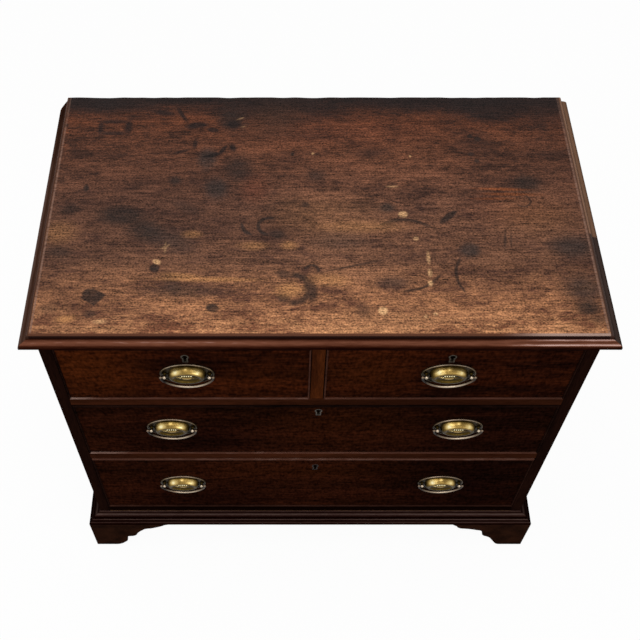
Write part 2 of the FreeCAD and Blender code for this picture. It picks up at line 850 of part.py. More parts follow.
def make_post(name, x, z):
    """A ball-headed post through the plate and the front, and the nut that holds it inside."""
    reach = get("post_reach")
    collar_out = get("plate_thickness") + get("collar_thickness")
    shank = get("shank_radius")
    nut_thickness = get("nut_thickness")
    inside_y = front_y + get("front_thickness")
    head_at = (x, front_y - reach, z)
    collar_at = (x, front_y - collar_out, z)
    head = ball(f"{name}_ball", get("post_ball_radius"), head_at)
    neck_length = reach - get("plate_thickness")
    neck = rod(f"{name}_neck", get("post_neck_radius"), neck_length, head_at, along_y)
    collar = rod(f"{name}_collar", get("collar_radius"), get("collar_thickness"), collar_at, along_y)
    shank_length = collar_out + get("front_thickness") + nut_thickness + get("overrun")
    stem = rod(f"{name}_shank", shank, shank_length, collar_at, along_y)
    eye_length = 2 * get("post_ball_radius") + 2 * get("overrun")
    eye = rod(
        f"{name}_eye",
        get("pin_radius") + get("pin_clearance"),
        eye_length,
        (x - eye_length / 2, front_y - reach, z),
        along_x,
    )
    post = cut(f"{name}_post", fuse(f"{name}_turned", head, neck, collar, stem), eye)
    hole = rod(
        f"{name}_hole",
        shank + get("shank_clearance"),
        shank_length + get("overrun"),
        collar_at,
        along_y,
    )
    blank = doc.addObject("Part::Prism", f"{name}_nut_blank")
    blank.Polygon = NUT_SIDE_COUNT
    blank.setExpression("Circumradius", get("nut_radius").text)
    blank.setExpression("Height", nut_thickness.text)
    place(blank, x, inside_y, z, along_y)
    return post, cut(f"{name}_nut", blank, hole), hole


def across_middle(point):
    """The place of a sketch point on the other side of the upright axis."""
    return FreeCAD.Vector(-point.x, point.y, 0)


def make_bail(name, x, z):
    """The swinging bail: a three-centred bow with a knob and an inward pin at each end."""
    half = get("bail_width") / 2
    drop = get("bail_drop")
    corner = get("bail_corner_radius")
    spread = half - corner
    rise = (spread * spread - (drop - corner) * (drop - corner)) / (2 * (drop - corner))
    body = new_body(f"{name}_bow")
    path = flat_sketch(body, f"{name}_path", "XZ_Plane")
    slope = FreeCAD.Vector(spread.value, -rise.value, 0).normalize()
    hub = FreeCAD.Vector(spread.value, 0, 0)
    meet = hub + slope * corner.value
    right_end = FreeCAD.Vector(half.value, 0, 0)
    right_mid = hub + (X_AXIS + slope).normalize() * corner.value
    lowest = FreeCAD.Vector(0, -drop.value, 0)
    path.addGeometry(Part.Arc(across_middle(right_end), across_middle(right_mid), across_middle(meet)))
    path.addGeometry(Part.Arc(across_middle(meet), lowest, meet))
    path.addGeometry(Part.Arc(meet, right_mid, right_end))
    centre = 3
    held = [
        (Sketcher.Constraint("PointOnObject", 0, centre, HORIZONTAL_LINE), None),
        (Sketcher.Constraint("PointOnObject", 2, centre, HORIZONTAL_LINE), None),
        (Sketcher.Constraint("Radius", 0, corner.value), corner.text),
        (Sketcher.Constraint("Radius", 2, corner.value), corner.text),
        (Sketcher.Constraint("DistanceY", -1, 1, 1, centre, rise.value), rise.text),
        (Sketcher.Constraint("Tangent", 0, 2, 1, 1), None),
        (Sketcher.Constraint("Tangent", 1, 2, 2, 1), None),
    ]
    held.extend(pins(0, 1, -half, 0))
    held.extend(pins(2, 2, half, 0))
    constrain(path, held)
    section = flat_sketch(body, f"{name}_section", "XY_Plane")
    section.addGeometry(Part.Circle(FreeCAD.Vector(half.value, 0, 0), Z_AXIS, get("bail_radius").value))
    round_held = [(Sketcher.Constraint("Radius", 0, get("bail_radius").value), get("bail_radius").text)]
    constrain(section, round_held + pins(0, centre, half, 0))
    sweep = body.newObject("PartDesign::AdditivePipe", f"{name}_sweep")
    sweep.Profile = section
    sweep.Spine = path
    pivot_y = front_y - get("post_reach")
    place(body, x, pivot_y, z)
    pieces = [body]
    pin_length = half - get("post_spacing") / 2 + get("post_ball_radius") + get("pin_end")
    for hand, sign in (("left", -1), ("right", 1)):
        end_x = x + sign * half
        pieces.append(ball(f"{name}_{hand}_knob", get("knob_radius"), (end_x, pivot_y, z)))
        start = (end_x if sign < 0 else end_x - pin_length, pivot_y, z)
        pieces.append(rod(f"{name}_{hand}_pin", get("pin_radius"), pin_length, start, along_x))
    node(f"{name}_bail", fuse(f"{name}_bail_whole", *pieces))


def make_drawer(drawer):
    """One drawer: dovetailed box, beaded front, handles and lock."""
    name = drawer.name
    gap = get("drawer_gap")
    left = drawer.left + gap
    right = drawer.right - gap
    width = right - left
    side = get("drawer_side_thickness")
    groove = get("drawer_groove")
    front_low = drawer.floor + get("front_lift")
    front_top = drawer.floor + drawer.opening - gap
    side_height = drawer.opening - get("drawer_side_drop")
    seat = get("drawer_bottom_rise") + get("drawer_bottom_thickness")

    bottom_y = front_y + get("front_thickness") - groove
    inset = side - groove
    bottom = box(
        f"{name}_panel",
        (left + inset, bottom_y, drawer.floor + get("drawer_bottom_rise")),
        (width - 2 * inset, front_y + drawer_length - bottom_y, get("drawer_bottom_thickness")),
    )
    node(f"{name}_drawer_bottom", bottom)
    body = new_body(f"{name}_side")
    pad(body, outline(body, f"{name}_side_outline", "YZ_Plane", side_points(drawer, side_height)), side)
    place(body, left, front_y, drawer.floor)
    left_side = cut(f"{name}_side_left", body, bottom)
    right_side = mirrored(f"{name}_side_right", left_side, (left + right) / 2)
    node(f"{name}_drawer_sides", group(f"{name}_sides", left_side, right_side))
    back = box(
        f"{name}_back_board",
        (left, front_y + drawer_length - get("drawer_back_thickness"), drawer.floor + seat),
        (width, get("drawer_back_thickness"), side_height - seat),
    )
    node(f"{name}_drawer_back", cut(f"{name}_back", back, left_side, right_side))

    beads = bead_strips(name, left, right, front_low, front_top)
    node(f"{name}_cock_beads", group(f"{name}_beads", *beads))
    taken_out = [left_side, right_side, bottom, *beads, *make_lock(drawer, front_top)]
    fittings = []
    handle_z = drawer.floor + drawer.handle_rise
    half_spacing = get("post_spacing") / 2
    for handle, x in drawer.handles.items():
        plate = make_plate(f"{handle}_plate", x, handle_z)
        holes = []
        for hand, sign in (("left", -1), ("right", 1)):
            post, nut, hole = make_post(f"{handle}_{hand}", x + sign * half_spacing, handle_z)
            fittings += [post, nut]
            holes.append(hole)
        fittings.append(cut(f"{handle}_pierced", plate, *holes))
        taken_out += holes
        make_bail(handle, x, handle_z)
    node(f"{name}_handle_mounts", group(f"{name}_fittings", *fittings))
    front = box(
        f"{name}_front_board",
        (left, front_y, front_low),
        (width, get("front_thickness"), front_top - front_low),
    )
    node(f"{name}_drawer_front", cut(f"{name}_front", front, *taken_out))


def make_stops(drawers):
    """Small blocks on the rails that the drawer fronts come up against."""
    stop_y = front_y + get("front_thickness") + get("stop_clearance")
    length = get("stop_length")
    lengths = (length, get("stop_depth"), get("stop_height"))
    stops = []
    for drawer in drawers:
        middle = (drawer.left + drawer.right) / 2
        reach = (drawer.right - drawer.left) * STOP_SHARE
        for hand, x in (("left", middle - reach), ("right", middle + reach)):
            stops.append(box(f"{drawer.name}_stop_{hand}", (x - length / 2, stop_y, drawer.floor), lengths))
    node("drawer_stops", group("stop_set", *stops))


def list_drawers():
    """The four drawers, from the upper left to the lowest."""
    stile = get("divider_width") / 2
    reach = get("upper_handle_reach")
    long_reach = get("long_handle_reach")
    upper = (upper_z, get("upper_opening"), get("upper_handle_rise"))
    middle = (middle_z, get("middle_opening"), get("middle_handle_rise"))
    lower = (lower_z, get("lower_opening"), get("lower_handle_rise"))
    upper_key = get("upper_key_drop")
    middle_key = get("middle_key_drop")
    lower_key = get("lower_key_drop")
    key_shift = get("long_key_shift")
    middle_handles = {"middle_left": -long_reach, "middle_right": long_reach}
    lower_handles = {"lower_left": -long_reach, "lower_right": long_reach}
    tails = FRONT_TAIL_COUNT
    deep_tails = DEEP_FRONT_TAIL_COUNT
    return [
        Drawer("upper_left", -half_inside, -stile, *upper, -reach, upper_key, {"upper_left": -reach}, tails),
        Drawer("upper_right", stile, half_inside, *upper, reach, upper_key, {"upper_right": reach}, tails),
        Drawer("middle", -half_inside, half_inside, *middle, key_shift, middle_key, middle_handles, tails),
        Drawer("lower", -half_inside, half_inside, *lower, key_shift, lower_key, lower_handles, deep_tails),
    ]


def check_all():
    """Stop if any item failed to build or any sub-part is empty or not valid."""
    for item in doc.Objects:
        if {"Invalid", "Error"} & set(item.State):
            raise RuntimeError(f"{item.Name} failed: {item.State}")
    for label, item in nodes.items():
        if item.Shape.isNull() or not item.Shape.isValid():
            raise RuntimeError(f"{label} has no valid shape")


def write_parts():
    """Write each sub-part to a file of its own."""
    os.makedirs("parts", exist_ok=True)
    for label, item in nodes.items():
        item.Shape.exportStep(f"parts/{label}.step")
        print(f"{label}: {len(item.Shape.Solids)} solids, {item.Shape.Volume:.0f} mm3")


make_top()
make_case()
make_base()
drawer_list = list_drawers()
for each in drawer_list:
    make_drawer(each)
make_stops(drawer_list)
doc.recompute()
check_all()
write_parts()
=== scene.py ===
"""Looks of the bachelor's chest: a worn mahogany top, dark polished fronts and stamped brass handles.

Metres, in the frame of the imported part: +Z is up, the drawers open towards -Y.
"""
import json
import logging
import math
from collections.abc import Iterable, Sequence
from dataclasses import dataclass
from enum import Enum

import bmesh
import bpy
from mathutils import Matrix, Vector, noise
from mathutils.geometry import intersect_point_line

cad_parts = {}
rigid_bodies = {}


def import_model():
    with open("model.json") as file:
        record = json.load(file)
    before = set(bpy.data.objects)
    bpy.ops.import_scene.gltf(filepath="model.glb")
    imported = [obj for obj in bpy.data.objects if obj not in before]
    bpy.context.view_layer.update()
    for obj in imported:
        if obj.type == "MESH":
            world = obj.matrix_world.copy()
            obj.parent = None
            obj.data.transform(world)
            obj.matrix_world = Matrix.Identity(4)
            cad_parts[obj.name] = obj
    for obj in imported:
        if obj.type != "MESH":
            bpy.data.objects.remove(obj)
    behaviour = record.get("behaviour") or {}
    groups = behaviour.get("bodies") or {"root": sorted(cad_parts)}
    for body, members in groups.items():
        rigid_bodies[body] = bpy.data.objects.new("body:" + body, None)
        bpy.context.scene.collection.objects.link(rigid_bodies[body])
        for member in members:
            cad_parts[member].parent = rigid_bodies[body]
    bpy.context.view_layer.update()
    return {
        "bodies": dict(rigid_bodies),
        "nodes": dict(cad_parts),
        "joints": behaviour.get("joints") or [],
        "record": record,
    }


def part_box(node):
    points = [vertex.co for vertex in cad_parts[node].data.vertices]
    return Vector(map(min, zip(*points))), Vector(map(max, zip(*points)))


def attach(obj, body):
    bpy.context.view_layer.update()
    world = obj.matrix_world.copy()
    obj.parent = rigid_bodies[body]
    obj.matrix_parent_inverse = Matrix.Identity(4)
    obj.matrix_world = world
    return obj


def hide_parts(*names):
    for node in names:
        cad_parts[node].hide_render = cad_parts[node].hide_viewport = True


log = logging.getLogger("bachelors_chest")

Colour = tuple[float, float, float, float]
Stops = tuple[tuple[float, Colour], ...]
Socket = bpy.types.NodeSocket
Verts = Sequence[bmesh.types.BMVert]

DRAWERS = ("upper_left", "upper_right", "middle", "lower")
HANDLES = {
    "upper_left": "upper_left",
    "upper_right": "upper_right",
    "middle_left": "middle",
    "middle_right": "middle",
    "lower_left": "lower",
    "lower_right": "lower",
}
TINY = 1e-6
UP = Vector((0, 0, 1))
FORWARD = Vector((0, -1, 0))


def tint(red: int, green: int, blue: int) -> Colour:
    """Linear colour of a screen colour that is given in steps from 0 to 255.

    Args:
        red, green, blue: The screen colour.

    Returns:
        The linear colour with full opacity.
    """
    steps = [value / 255 for value in (red, green, blue)]
    linear = [s / 12.92 if s <= 0.04045 else ((s + 0.055) / 1.055) ** 2.4 for s in steps]
    return (*linear, 1.0)


def clamped(value: float) -> float:
    """A value kept between 0 and 1."""
    return min(max(value, 0.0), 1.0)


class Graph:
    """Short calls for the nodes of one material or node group."""

    # Where a Mix node keeps its sockets for colours
    MIX_SHARE, MIX_FIRST, MIX_SECOND, MIX_RESULT = 0, 6, 7, 2
    # What noises swing around
    EVEN = 0.5

    def __init__(self, tree: bpy.types.NodeTree) -> None:
        """Work on one node tree."""
        self.tree = tree

    def feed(self, socket: Socket, value: object) -> None:
        """Link another node's output to a socket, or set the socket's own value.

        Args:
            socket: The socket to feed.
            value: An output, a number, a vector or a colour.
        """
        if isinstance(value, Socket):
            self.tree.links.new(value, socket)
        else:
            socket.default_value = value

    def node(self, kind: str, given: dict[int | str, object] | None = None,
             **settings: object) -> bpy.types.Node:
        """A new node with its settings made and its inputs fed.

        Args:
            kind: Blender's name for the node.
            given: What each input gets, by its index or name.
            settings: The node's own settings.

        Returns:
            The node.
        """
        made = self.tree.nodes.new(kind)
        for name, value in settings.items():
            setattr(made, name, value)
        for socket, value in (given or {}).items():
            self.feed(made.inputs[socket], value)
        return made

    def where(self) -> Socket:
        """The place in the object's own coordinates."""
        return self.node("ShaderNodeTexCoord").outputs["Object"]

    def attribute(self, name: str) -> Socket:
        """A number that the piece's own vertices carry."""
        return self.node("ShaderNodeAttribute", attribute_name=name).outputs["Fac"]

    def math(self, operation: str, first: object, second: object = 0.0, third: object = 0.0,
             clamp: bool = False) -> Socket:
        """One sum on two or three numbers."""
        given = {0: first, 1: second, 2: third}
        return self.node("ShaderNodeMath", given, operation=operation, use_clamp=clamp).outputs[0]

    def vector(self, operation: str, first: Socket, second: object) -> Socket:
        """One sum on two vectors."""
        made = self.node("ShaderNodeVectorMath", {0: first, 1: second}, operation=operation)
        return made.outputs["Value" if operation == "DOT_PRODUCT" else "Vector"]

    def about(self, flat: Socket, middle: tuple[float, float], turn: float,
              half: tuple[float, float]) -> tuple[Socket, Socket]:
        """A place on a face as seen from a mark on it.

        Args:
            flat: The place on the face.
            middle: The mark's middle.
            turn: The mark's turn in degrees.
            half: The mark's half length and half width.

        Returns:
            The way along and the way across the mark, in shares of its half sizes.
        """
        away = self.vector("SUBTRACT", flat, (*middle, 0.0))
        cosine, sine = math.cos(math.radians(turn)), math.sin(math.radians(turn))
        along = self.vector("DOT_PRODUCT", away, (cosine / half[0], sine / half[0], 0.0))
        aside = self.vector("DOT_PRODUCT", away, (-sine / half[1], cosine / half[1], 0.0))
        return along, aside

    def hypotenuse(self, along: Socket, aside: Socket) -> Socket:
        """The length of a way that is given in two parts."""
        square = self.math("MULTIPLY", aside, aside)
        return self.math("SQRT", self.math("MULTIPLY_ADD", along, along, square))

    def scaled(self, vector: Socket, scale: tuple[float, float, float]) -> Socket:
        """A vector with each part multiplied."""
        return self.vector("MULTIPLY", vector, scale)

    def split(self, vector: Socket) -> tuple[Socket, Socket, Socket]:
        """The three parts of a vector."""
        return tuple(self.node("ShaderNodeSeparateXYZ", {0: vector}).outputs)

    def join(self, x: object, y: object, z: object) -> Socket:
        """A vector from its three parts."""
        return self.node("ShaderNodeCombineXYZ", {0: x, 1: y, 2: z}).outputs[0]

    def noise(self, vector: Socket, scale: float = 1.0, detail: float = 3.0, bend: float = 0.0,
              rough: float = 0.5) -> Socket:
        """Cloudy noise around one half."""
        given = {"Vector": vector, "Scale": scale, "Detail": detail, "Roughness": rough, "Distortion": bend}
        return self.node("ShaderNodeTexNoise", given).outputs[0]

    def swing(self, value: Socket) -> Socket:
        """A noise around zero from one around one half."""
        return self.math("SUBTRACT", value, self.EVEN)

    def sway(self, level: object, parts: Iterable[tuple[Socket, float]]) -> Socket:
        """A level that noises raise and lower, kept between 0 and 1.

        Args:
            level: The level without them.
            parts: Noises around one half, each with its weight.

        Returns:
            The swaying level.
        """
        for part, weight in parts:
            level = self.math("MULTIPLY_ADD", self.swing(part), weight, level, clamp=True)
        return level

    def fade(self, value: Socket, none: float, full: float, strength: float = 1.0) -> Socket:
        """A smooth rise from 0 to a strength between two values, or a fall where the first is the higher."""
        given = {"Value": value, "From Min": none, "From Max": full, "To Max": strength}
        return self.node("ShaderNodeMapRange", given, interpolation_type="SMOOTHSTEP").outputs[0]

    def share(self, value: Socket, none: float, full: float) -> Socket:
        """How far a value is on its way from one to another, as an even rise from 0 to 1."""
        given = {"Value": value, "From Min": none, "From Max": full}
        return self.node("ShaderNodeMapRange", given).outputs[0]

    def spread(self, value: Socket, low: float, high: float) -> Socket:
        """A value from 0 to 1 carried to another span."""
        return self.node("ShaderNodeMapRange", {"Value": value, "To Min": low, "To Max": high}).outputs[0]

    def mix(self, share: object, first: object, second: object, blend: str = "MIX") -> Socket:
        """Two colours mixed by a share."""
        given = {self.MIX_SHARE: share, self.MIX_FIRST: first, self.MIX_SECOND: second}
        return self.node("ShaderNodeMix", given, data_type="RGBA", blend_type=blend).outputs[self.MIX_RESULT]

    def ramp(self, value: Socket, stops: Stops) -> Socket:
        """A colour that runs through stops.

        Args:
            value: The way along the stops, from 0 to 1.
            stops: The places along the way and their colours.

        Returns:
            The colour.
        """
        made = self.node("ShaderNodeValToRGB", {0: value})
        elements = made.color_ramp.elements
        while len(elements) < len(stops):
            elements.new(1.0)
        for element, (position, colour) in zip(elements, stops):
            element.position = position
            element.color = colour
        return made.outputs[0]

    def bump(self, height: Socket, distance: float, strength: float) -> Socket:
        """A surface normal from a height."""
        given = {"Height": height, "Distance": distance, "Strength": strength}
        return self.node("ShaderNodeBump", given).outputs[0]


class Effect:
    """A shader node group that is built once and placed in each material that uses it."""

    name = ""
    inputs: dict[str, str] = {}
    outputs: dict[str, str] = {}
    made: dict[str, bpy.types.NodeTree] = {}

    def build(self, graph: Graph, given: Sequence[Socket]) -> Sequence[Socket]:
        """The group's own nodes, from its inputs to its outputs, both in their order."""
        raise NotImplementedError

    def tree(self) -> bpy.types.NodeTree:
        """The group's tree, which the first call builds.

        Returns:
            The tree.
        """
        if self.name not in self.made:
            group = bpy.data.node_groups.new(self.name, "ShaderNodeTree")
            for side, sockets in (("INPUT", self.inputs), ("OUTPUT", self.outputs)):
                for name, kind in sockets.items():
                    group.interface.new_socket(name, in_out=side, socket_type=f"NodeSocket{kind}")
            graph = Graph(group)
            results = self.build(graph, graph.node("NodeGroupInput").outputs)
            graph.node("NodeGroupOutput", dict(enumerate(results)))
            self.made[self.name] = group
        return self.made[self.name]

    def place(self, graph: Graph, *values: object) -> Sequence[Socket]:
        """Place the group in a material, and give its inputs their values in order."""
        return graph.node("ShaderNodeGroup", dict(enumerate(values)), node_tree=self.tree()).outputs


class Grain(Effect):
    """Mahogany grain: broad figure, fine fibre and short dark pores, along the vector's first part."""

    name = "mahogany_grain"
    inputs = {"Vector": "Vector"}
    outputs = {"Figure": "Float", "Fibre": "Float", "Pores": "Float"}

    # How often each noise comes in a metre along, across and through the board
    BEND_SCALE = (1.6, 5.0, 5.0)
    FIGURE_SCALE = (2.6, 26.0, 26.0)
    FIBRE_SCALE = (40.0, 340.0, 340.0)
    PORE_SCALE = (60.0, 640.0, 640.0)
    BEND = 0.03
    PORE_LEVELS = (0.58, 0.70)

    def build(self, graph: Graph, given: Sequence[Socket]) -> Sequence[Socket]:
        """Noises that are stretched along the board, and bent a little together.

        Args:
            graph: The group's tree.
            given: The place, with the grain's way as its first part.

        Returns:
            The figure, the fibre and the pores.
        """
        along, across, through = graph.split(given[0])
        bend = graph.noise(graph.scaled(given[0], self.BEND_SCALE), detail=2.0)
        shift = graph.math("MULTIPLY", graph.swing(bend), self.BEND)
        bent = graph.join(along, graph.math("ADD", across, shift), graph.math("ADD", through, shift))
        figure = graph.noise(graph.scaled(bent, self.FIGURE_SCALE), detail=4.0, bend=0.4)
        fibre = graph.noise(graph.scaled(bent, self.FIBRE_SCALE), detail=4.0)
        dashes = graph.noise(graph.scaled(bent, self.PORE_SCALE), detail=1.0)
        return figure, fibre, graph.fade(dashes, *self.PORE_LEVELS)


class Run(Enum):
    """Which way a board's grain runs."""

    ACROSS = "x"
    INWARD = "y"
    UPRIGHT = "z"
    ROUND = "round"


class Side(Enum):
    """The sides of the chest that a length of moulding can lie on."""

    FRONT = "front"
    LEFT = "left"
    RIGHT = "right"


class Ink(Enum):
    """Colours of the marks on the top and of the patches on the drawer fronts."""

    PITCH = tint(30, 23, 22)
    DUSK = tint(59, 38, 31)
    RED = tint(104, 60, 44)
    BLACK = tint(40, 32, 29)
    BLUE_BLACK = tint(50, 42, 39)
    BROWN = tint(61, 41, 32)
    PALE = tint(206, 162, 116)
    BUFF = tint(176, 124, 78)
    ORANGE = tint(142, 78, 42)
    WARM = tint(62, 27, 9)
    GLOOM = tint(14, 5, 4)


class Outline(Enum):
    """The outlines that a stain can have."""

    ROUND = "round"
    DIAMOND = "diamond"


@dataclass(frozen=True)
class Stain:
    """A blotch: its middle, its length and width, its turn in degrees and its strength."""

    x: float
    y: float
    length: float
    width: float
    turn: float
    strength: float
    softness: float = 0.35
    ragged: float = 0.6
    outline: Outline = Outline.ROUND

    def mask(self, graph: Graph, flat: Socket, rough: Socket) -> Socket:
        """How strongly the stain shows at a place.

        Args:
            graph: The finish's nodes.
            flat: The place on the face.
            rough: A noise around zero that makes the rim ragged.

        Returns:
            The share of the ink, from 0 to the stain's strength.
        """
        along, aside = graph.about(flat, (self.x, self.y), self.turn, (self.length / 2, self.width / 2))
        if self.outline is Outline.DIAMOND:
            radius = graph.math("ADD", graph.math("ABSOLUTE", along), graph.math("ABSOLUTE", aside))
        else:
            radius = graph.hypotenuse(along, aside)
        edge = graph.math("MULTIPLY_ADD", rough, self.ragged, radius)
        return graph.fade(edge, 1.0 + self.softness, 1.0 - self.softness, self.strength)


@dataclass(frozen=True)
class Ring:
    """A part ring: its centre, radius and width, its sweep's middle and reach in degrees, its strength."""

    x: float
    y: float
    radius: float
    width: float
    facing: float
    sweep: float
    strength: float
    ragged: float = 0.4

    # Where the band's edge fades, in shares of its half width, and where its ends start to fade
    FADE = (1.3, 0.4)
    END = 0.7

    def mask(self, graph: Graph, flat: Socket, rough: Socket) -> Socket:
        """How strongly the ring shows at a place.

        Args:
            graph: The finish's nodes.
            flat: The place on the face.
            rough: A noise around zero that makes the band ragged.

        Returns:
            The share of the ink, from 0 to the ring's strength.
        """
        along, aside = graph.about(flat, (self.x, self.y), self.facing, (self.radius, self.radius))
        off = graph.math("ABSOLUTE", graph.math("SUBTRACT", graph.hypotenuse(along, aside), 1.0))
        half = self.width / 2 / self.radius
        uneven = graph.math("MULTIPLY_ADD", rough, self.ragged * half * 2, off)
        band = graph.fade(uneven, *(half * share for share in self.FADE), self.strength)
        end, full = (math.cos(math.radians(self.sweep / 2 * share)) for share in (1.0, self.END))
        return graph.math("MULTIPLY", band, graph.fade(along, end, full))


Marks = dict[Ink, tuple[Stain | Ring, ...]]


def ink_share(graph: Graph, marks: Sequence[Stain | Ring], flat: Socket, rough: Socket) -> Socket:
    """Where the marks of one ink show: at each place the strongest of them.

    Args:
        graph: The finish's nodes.
        marks: The marks.
        flat: The place on the face.
        rough: A noise around zero that makes their rims ragged.

    Returns:
        The share of the ink.
    """
    share = 0.0
    for mark in marks:
        share = graph.math("MAXIMUM", mark.mask(graph, flat, rough), share)
    return share


# Broad darkened and faded places on the top
CLOUDS: Marks = {
    Ink.PITCH: (
        Stain(-0.402, 0.268, 0.170, 0.062, 0, 0.95, 0.6, 0.8),
        Stain(-0.250, 0.275, 0.260, 0.030, 0, 0.85, 0.7, 0.8),
        Stain(-0.060, 0.252, 0.260, 0.070, 2, 0.85, 0.7, 0.9),
        Stain(0.170, 0.264, 0.300, 0.050, 0, 0.80, 0.7, 0.9),
        Stain(0.335, 0.252, 0.200, 0.075, 0, 0.95, 0.5, 0.9),
        Stain(0.430, 0.250, 0.120, 0.090, 0, 0.80, 0.7, 0.9),
    ),
    Ink.DUSK: (
        Stain(-0.290, 0.010, 0.420, 0.280, 0, 0.55, 0.9, 0.5),
        Stain(-0.440, -0.080, 0.110, 0.340, 0, 0.50, 0.9, 0.5),
        Stain(-0.400, -0.200, 0.200, 0.110, 0, 0.45, 0.9, 0.6),
        Stain(0.440, -0.110, 0.100, 0.260, 0, 0.55, 0.9, 0.5),
        Stain(0.300, -0.110, 0.300, 0.120, 0, 0.30, 0.9, 0.6),
        Stain(0.420, 0.100, 0.140, 0.200, 0, 0.45, 0.9, 0.5),
        Stain(-0.090, -0.045, 0.100, 0.060, 0, 0.75, 0.8),
        Stain(0.390, 0.070, 0.160, 0.026, 0, 0.70, 0.8),
        Stain(0.290, 0.150, 0.070, 0.090, 20, 0.50, 0.8),
        Stain(-0.290, -0.206, 0.080, 0.030, 0, 0.38, 0.8),
        Stain(-0.120, -0.200, 0.100, 0.034, 0, 0.20, 0.8),
        Stain(-0.042, 0.115, 0.090, 0.040, 0, 0.55, 0.9),
        Stain(0.100, 0.135, 0.050, 0.020, 0, 0.65, 0.8),
        Stain(-0.370, 0.070, 0.180, 0.120, 0, 0.35, 0.9),
        Stain(0.121, -0.220, 0.140, 0.050, 0, 0.30, 0.9),
    ),
    Ink.RED: (
        Stain(-0.109, 0.051, 0.040, 0.056, 0, 0.55, 0.8),
        Stain(0.040, 0.190, 0.300, 0.060, 0, 0.28, 0.9),
        Stain(0.355, 0.000, 0.150, 0.060, 0, 0.36, 0.9),
    ),
    Ink.BLACK: (
        Stain(-0.154, 0.218, 0.050, 0.050, 0, 0.80, 0.7, 0.9),
        Stain(-0.337, -0.013, 0.080, 0.042, -6, 0.95, 0.5),
        Stain(-0.296, -0.043, 0.062, 0.044, -25, 0.92, 0.6),
        Stain(-0.138, 0.098, 0.048, 0.058, 0, 0.80, 0.7),
        Stain(-0.250, 0.068, 0.022, 0.020, 0, 0.85, 0.6),
        Stain(-0.228, 0.007, 0.050, 0.020, -30, 0.55, 0.8),
        Stain(-0.427, 0.002, 0.032, 0.020, 10, 0.65, 0.7),
        Stain(-0.435, -0.092, 0.044, 0.024, -12, 0.70, 0.7),
        Stain(0.370, 0.060, 0.052, 0.042, 0, 0.92, 0.6),
        Stain(0.434, -0.207, 0.042, 0.026, 5, 0.95, 0.5),
        Stain(0.449, -0.228, 0.030, 0.018, 0, 0.60, 0.7),
        Stain(-0.240, -0.157, 0.026, 0.040, 30, 0.60, 0.7),
        Stain(-0.369, -0.218, 0.022, 0.014, 0, 0.70, 0.6),
        Stain(-0.437, -0.207, 0.030, 0.016, 0, 0.55, 0.7),
        Stain(0.071, -0.212, 0.024, 0.028, 0, 0.55, 0.7),
    ),
    Ink.BLUE_BLACK: (
        Stain(-0.250, -0.066, 0.080, 0.040, -25, 0.60, 0.8),
        Stain(-0.195, 0.121, 0.032, 0.048, 0, 0.90, 0.6),
        Stain(-0.176, 0.049, 0.038, 0.048, 0, 0.90, 0.6),
        Stain(0.255, -0.088, 0.034, 0.032, 0, 0.92, 0.5),
        Stain(0.121, 0.006, 0.026, 0.020, 0, 0.90, 0.5),
        Stain(0.429, -0.080, 0.072, 0.044, 0, 0.85, 0.7),
        Stain(0.432, -0.168, 0.060, 0.050, 0, 0.75, 0.7),
        Stain(-0.219, -0.173, 0.120, 0.024, 0, 0.52, 0.8),
        Stain(0.035, -0.068, 0.080, 0.036, 0, 0.60, 0.8),
        Stain(0.121, -0.156, 0.050, 0.024, 0, 0.65, 0.8),
        Stain(0.000, 0.080, 0.030, 0.024, 0, 0.60, 0.8),
    ),
    Ink.BROWN: (
        Stain(-0.079, 0.210, 0.110, 0.080, 20, 0.70, 0.8),
    ),
    Ink.BUFF: (
        Stain(0.013, -0.011, 0.160, 0.080, 0, 0.13, 0.9),
        Stain(0.375, -0.011, 0.120, 0.070, 0, 0.13, 0.9),
    ),
}
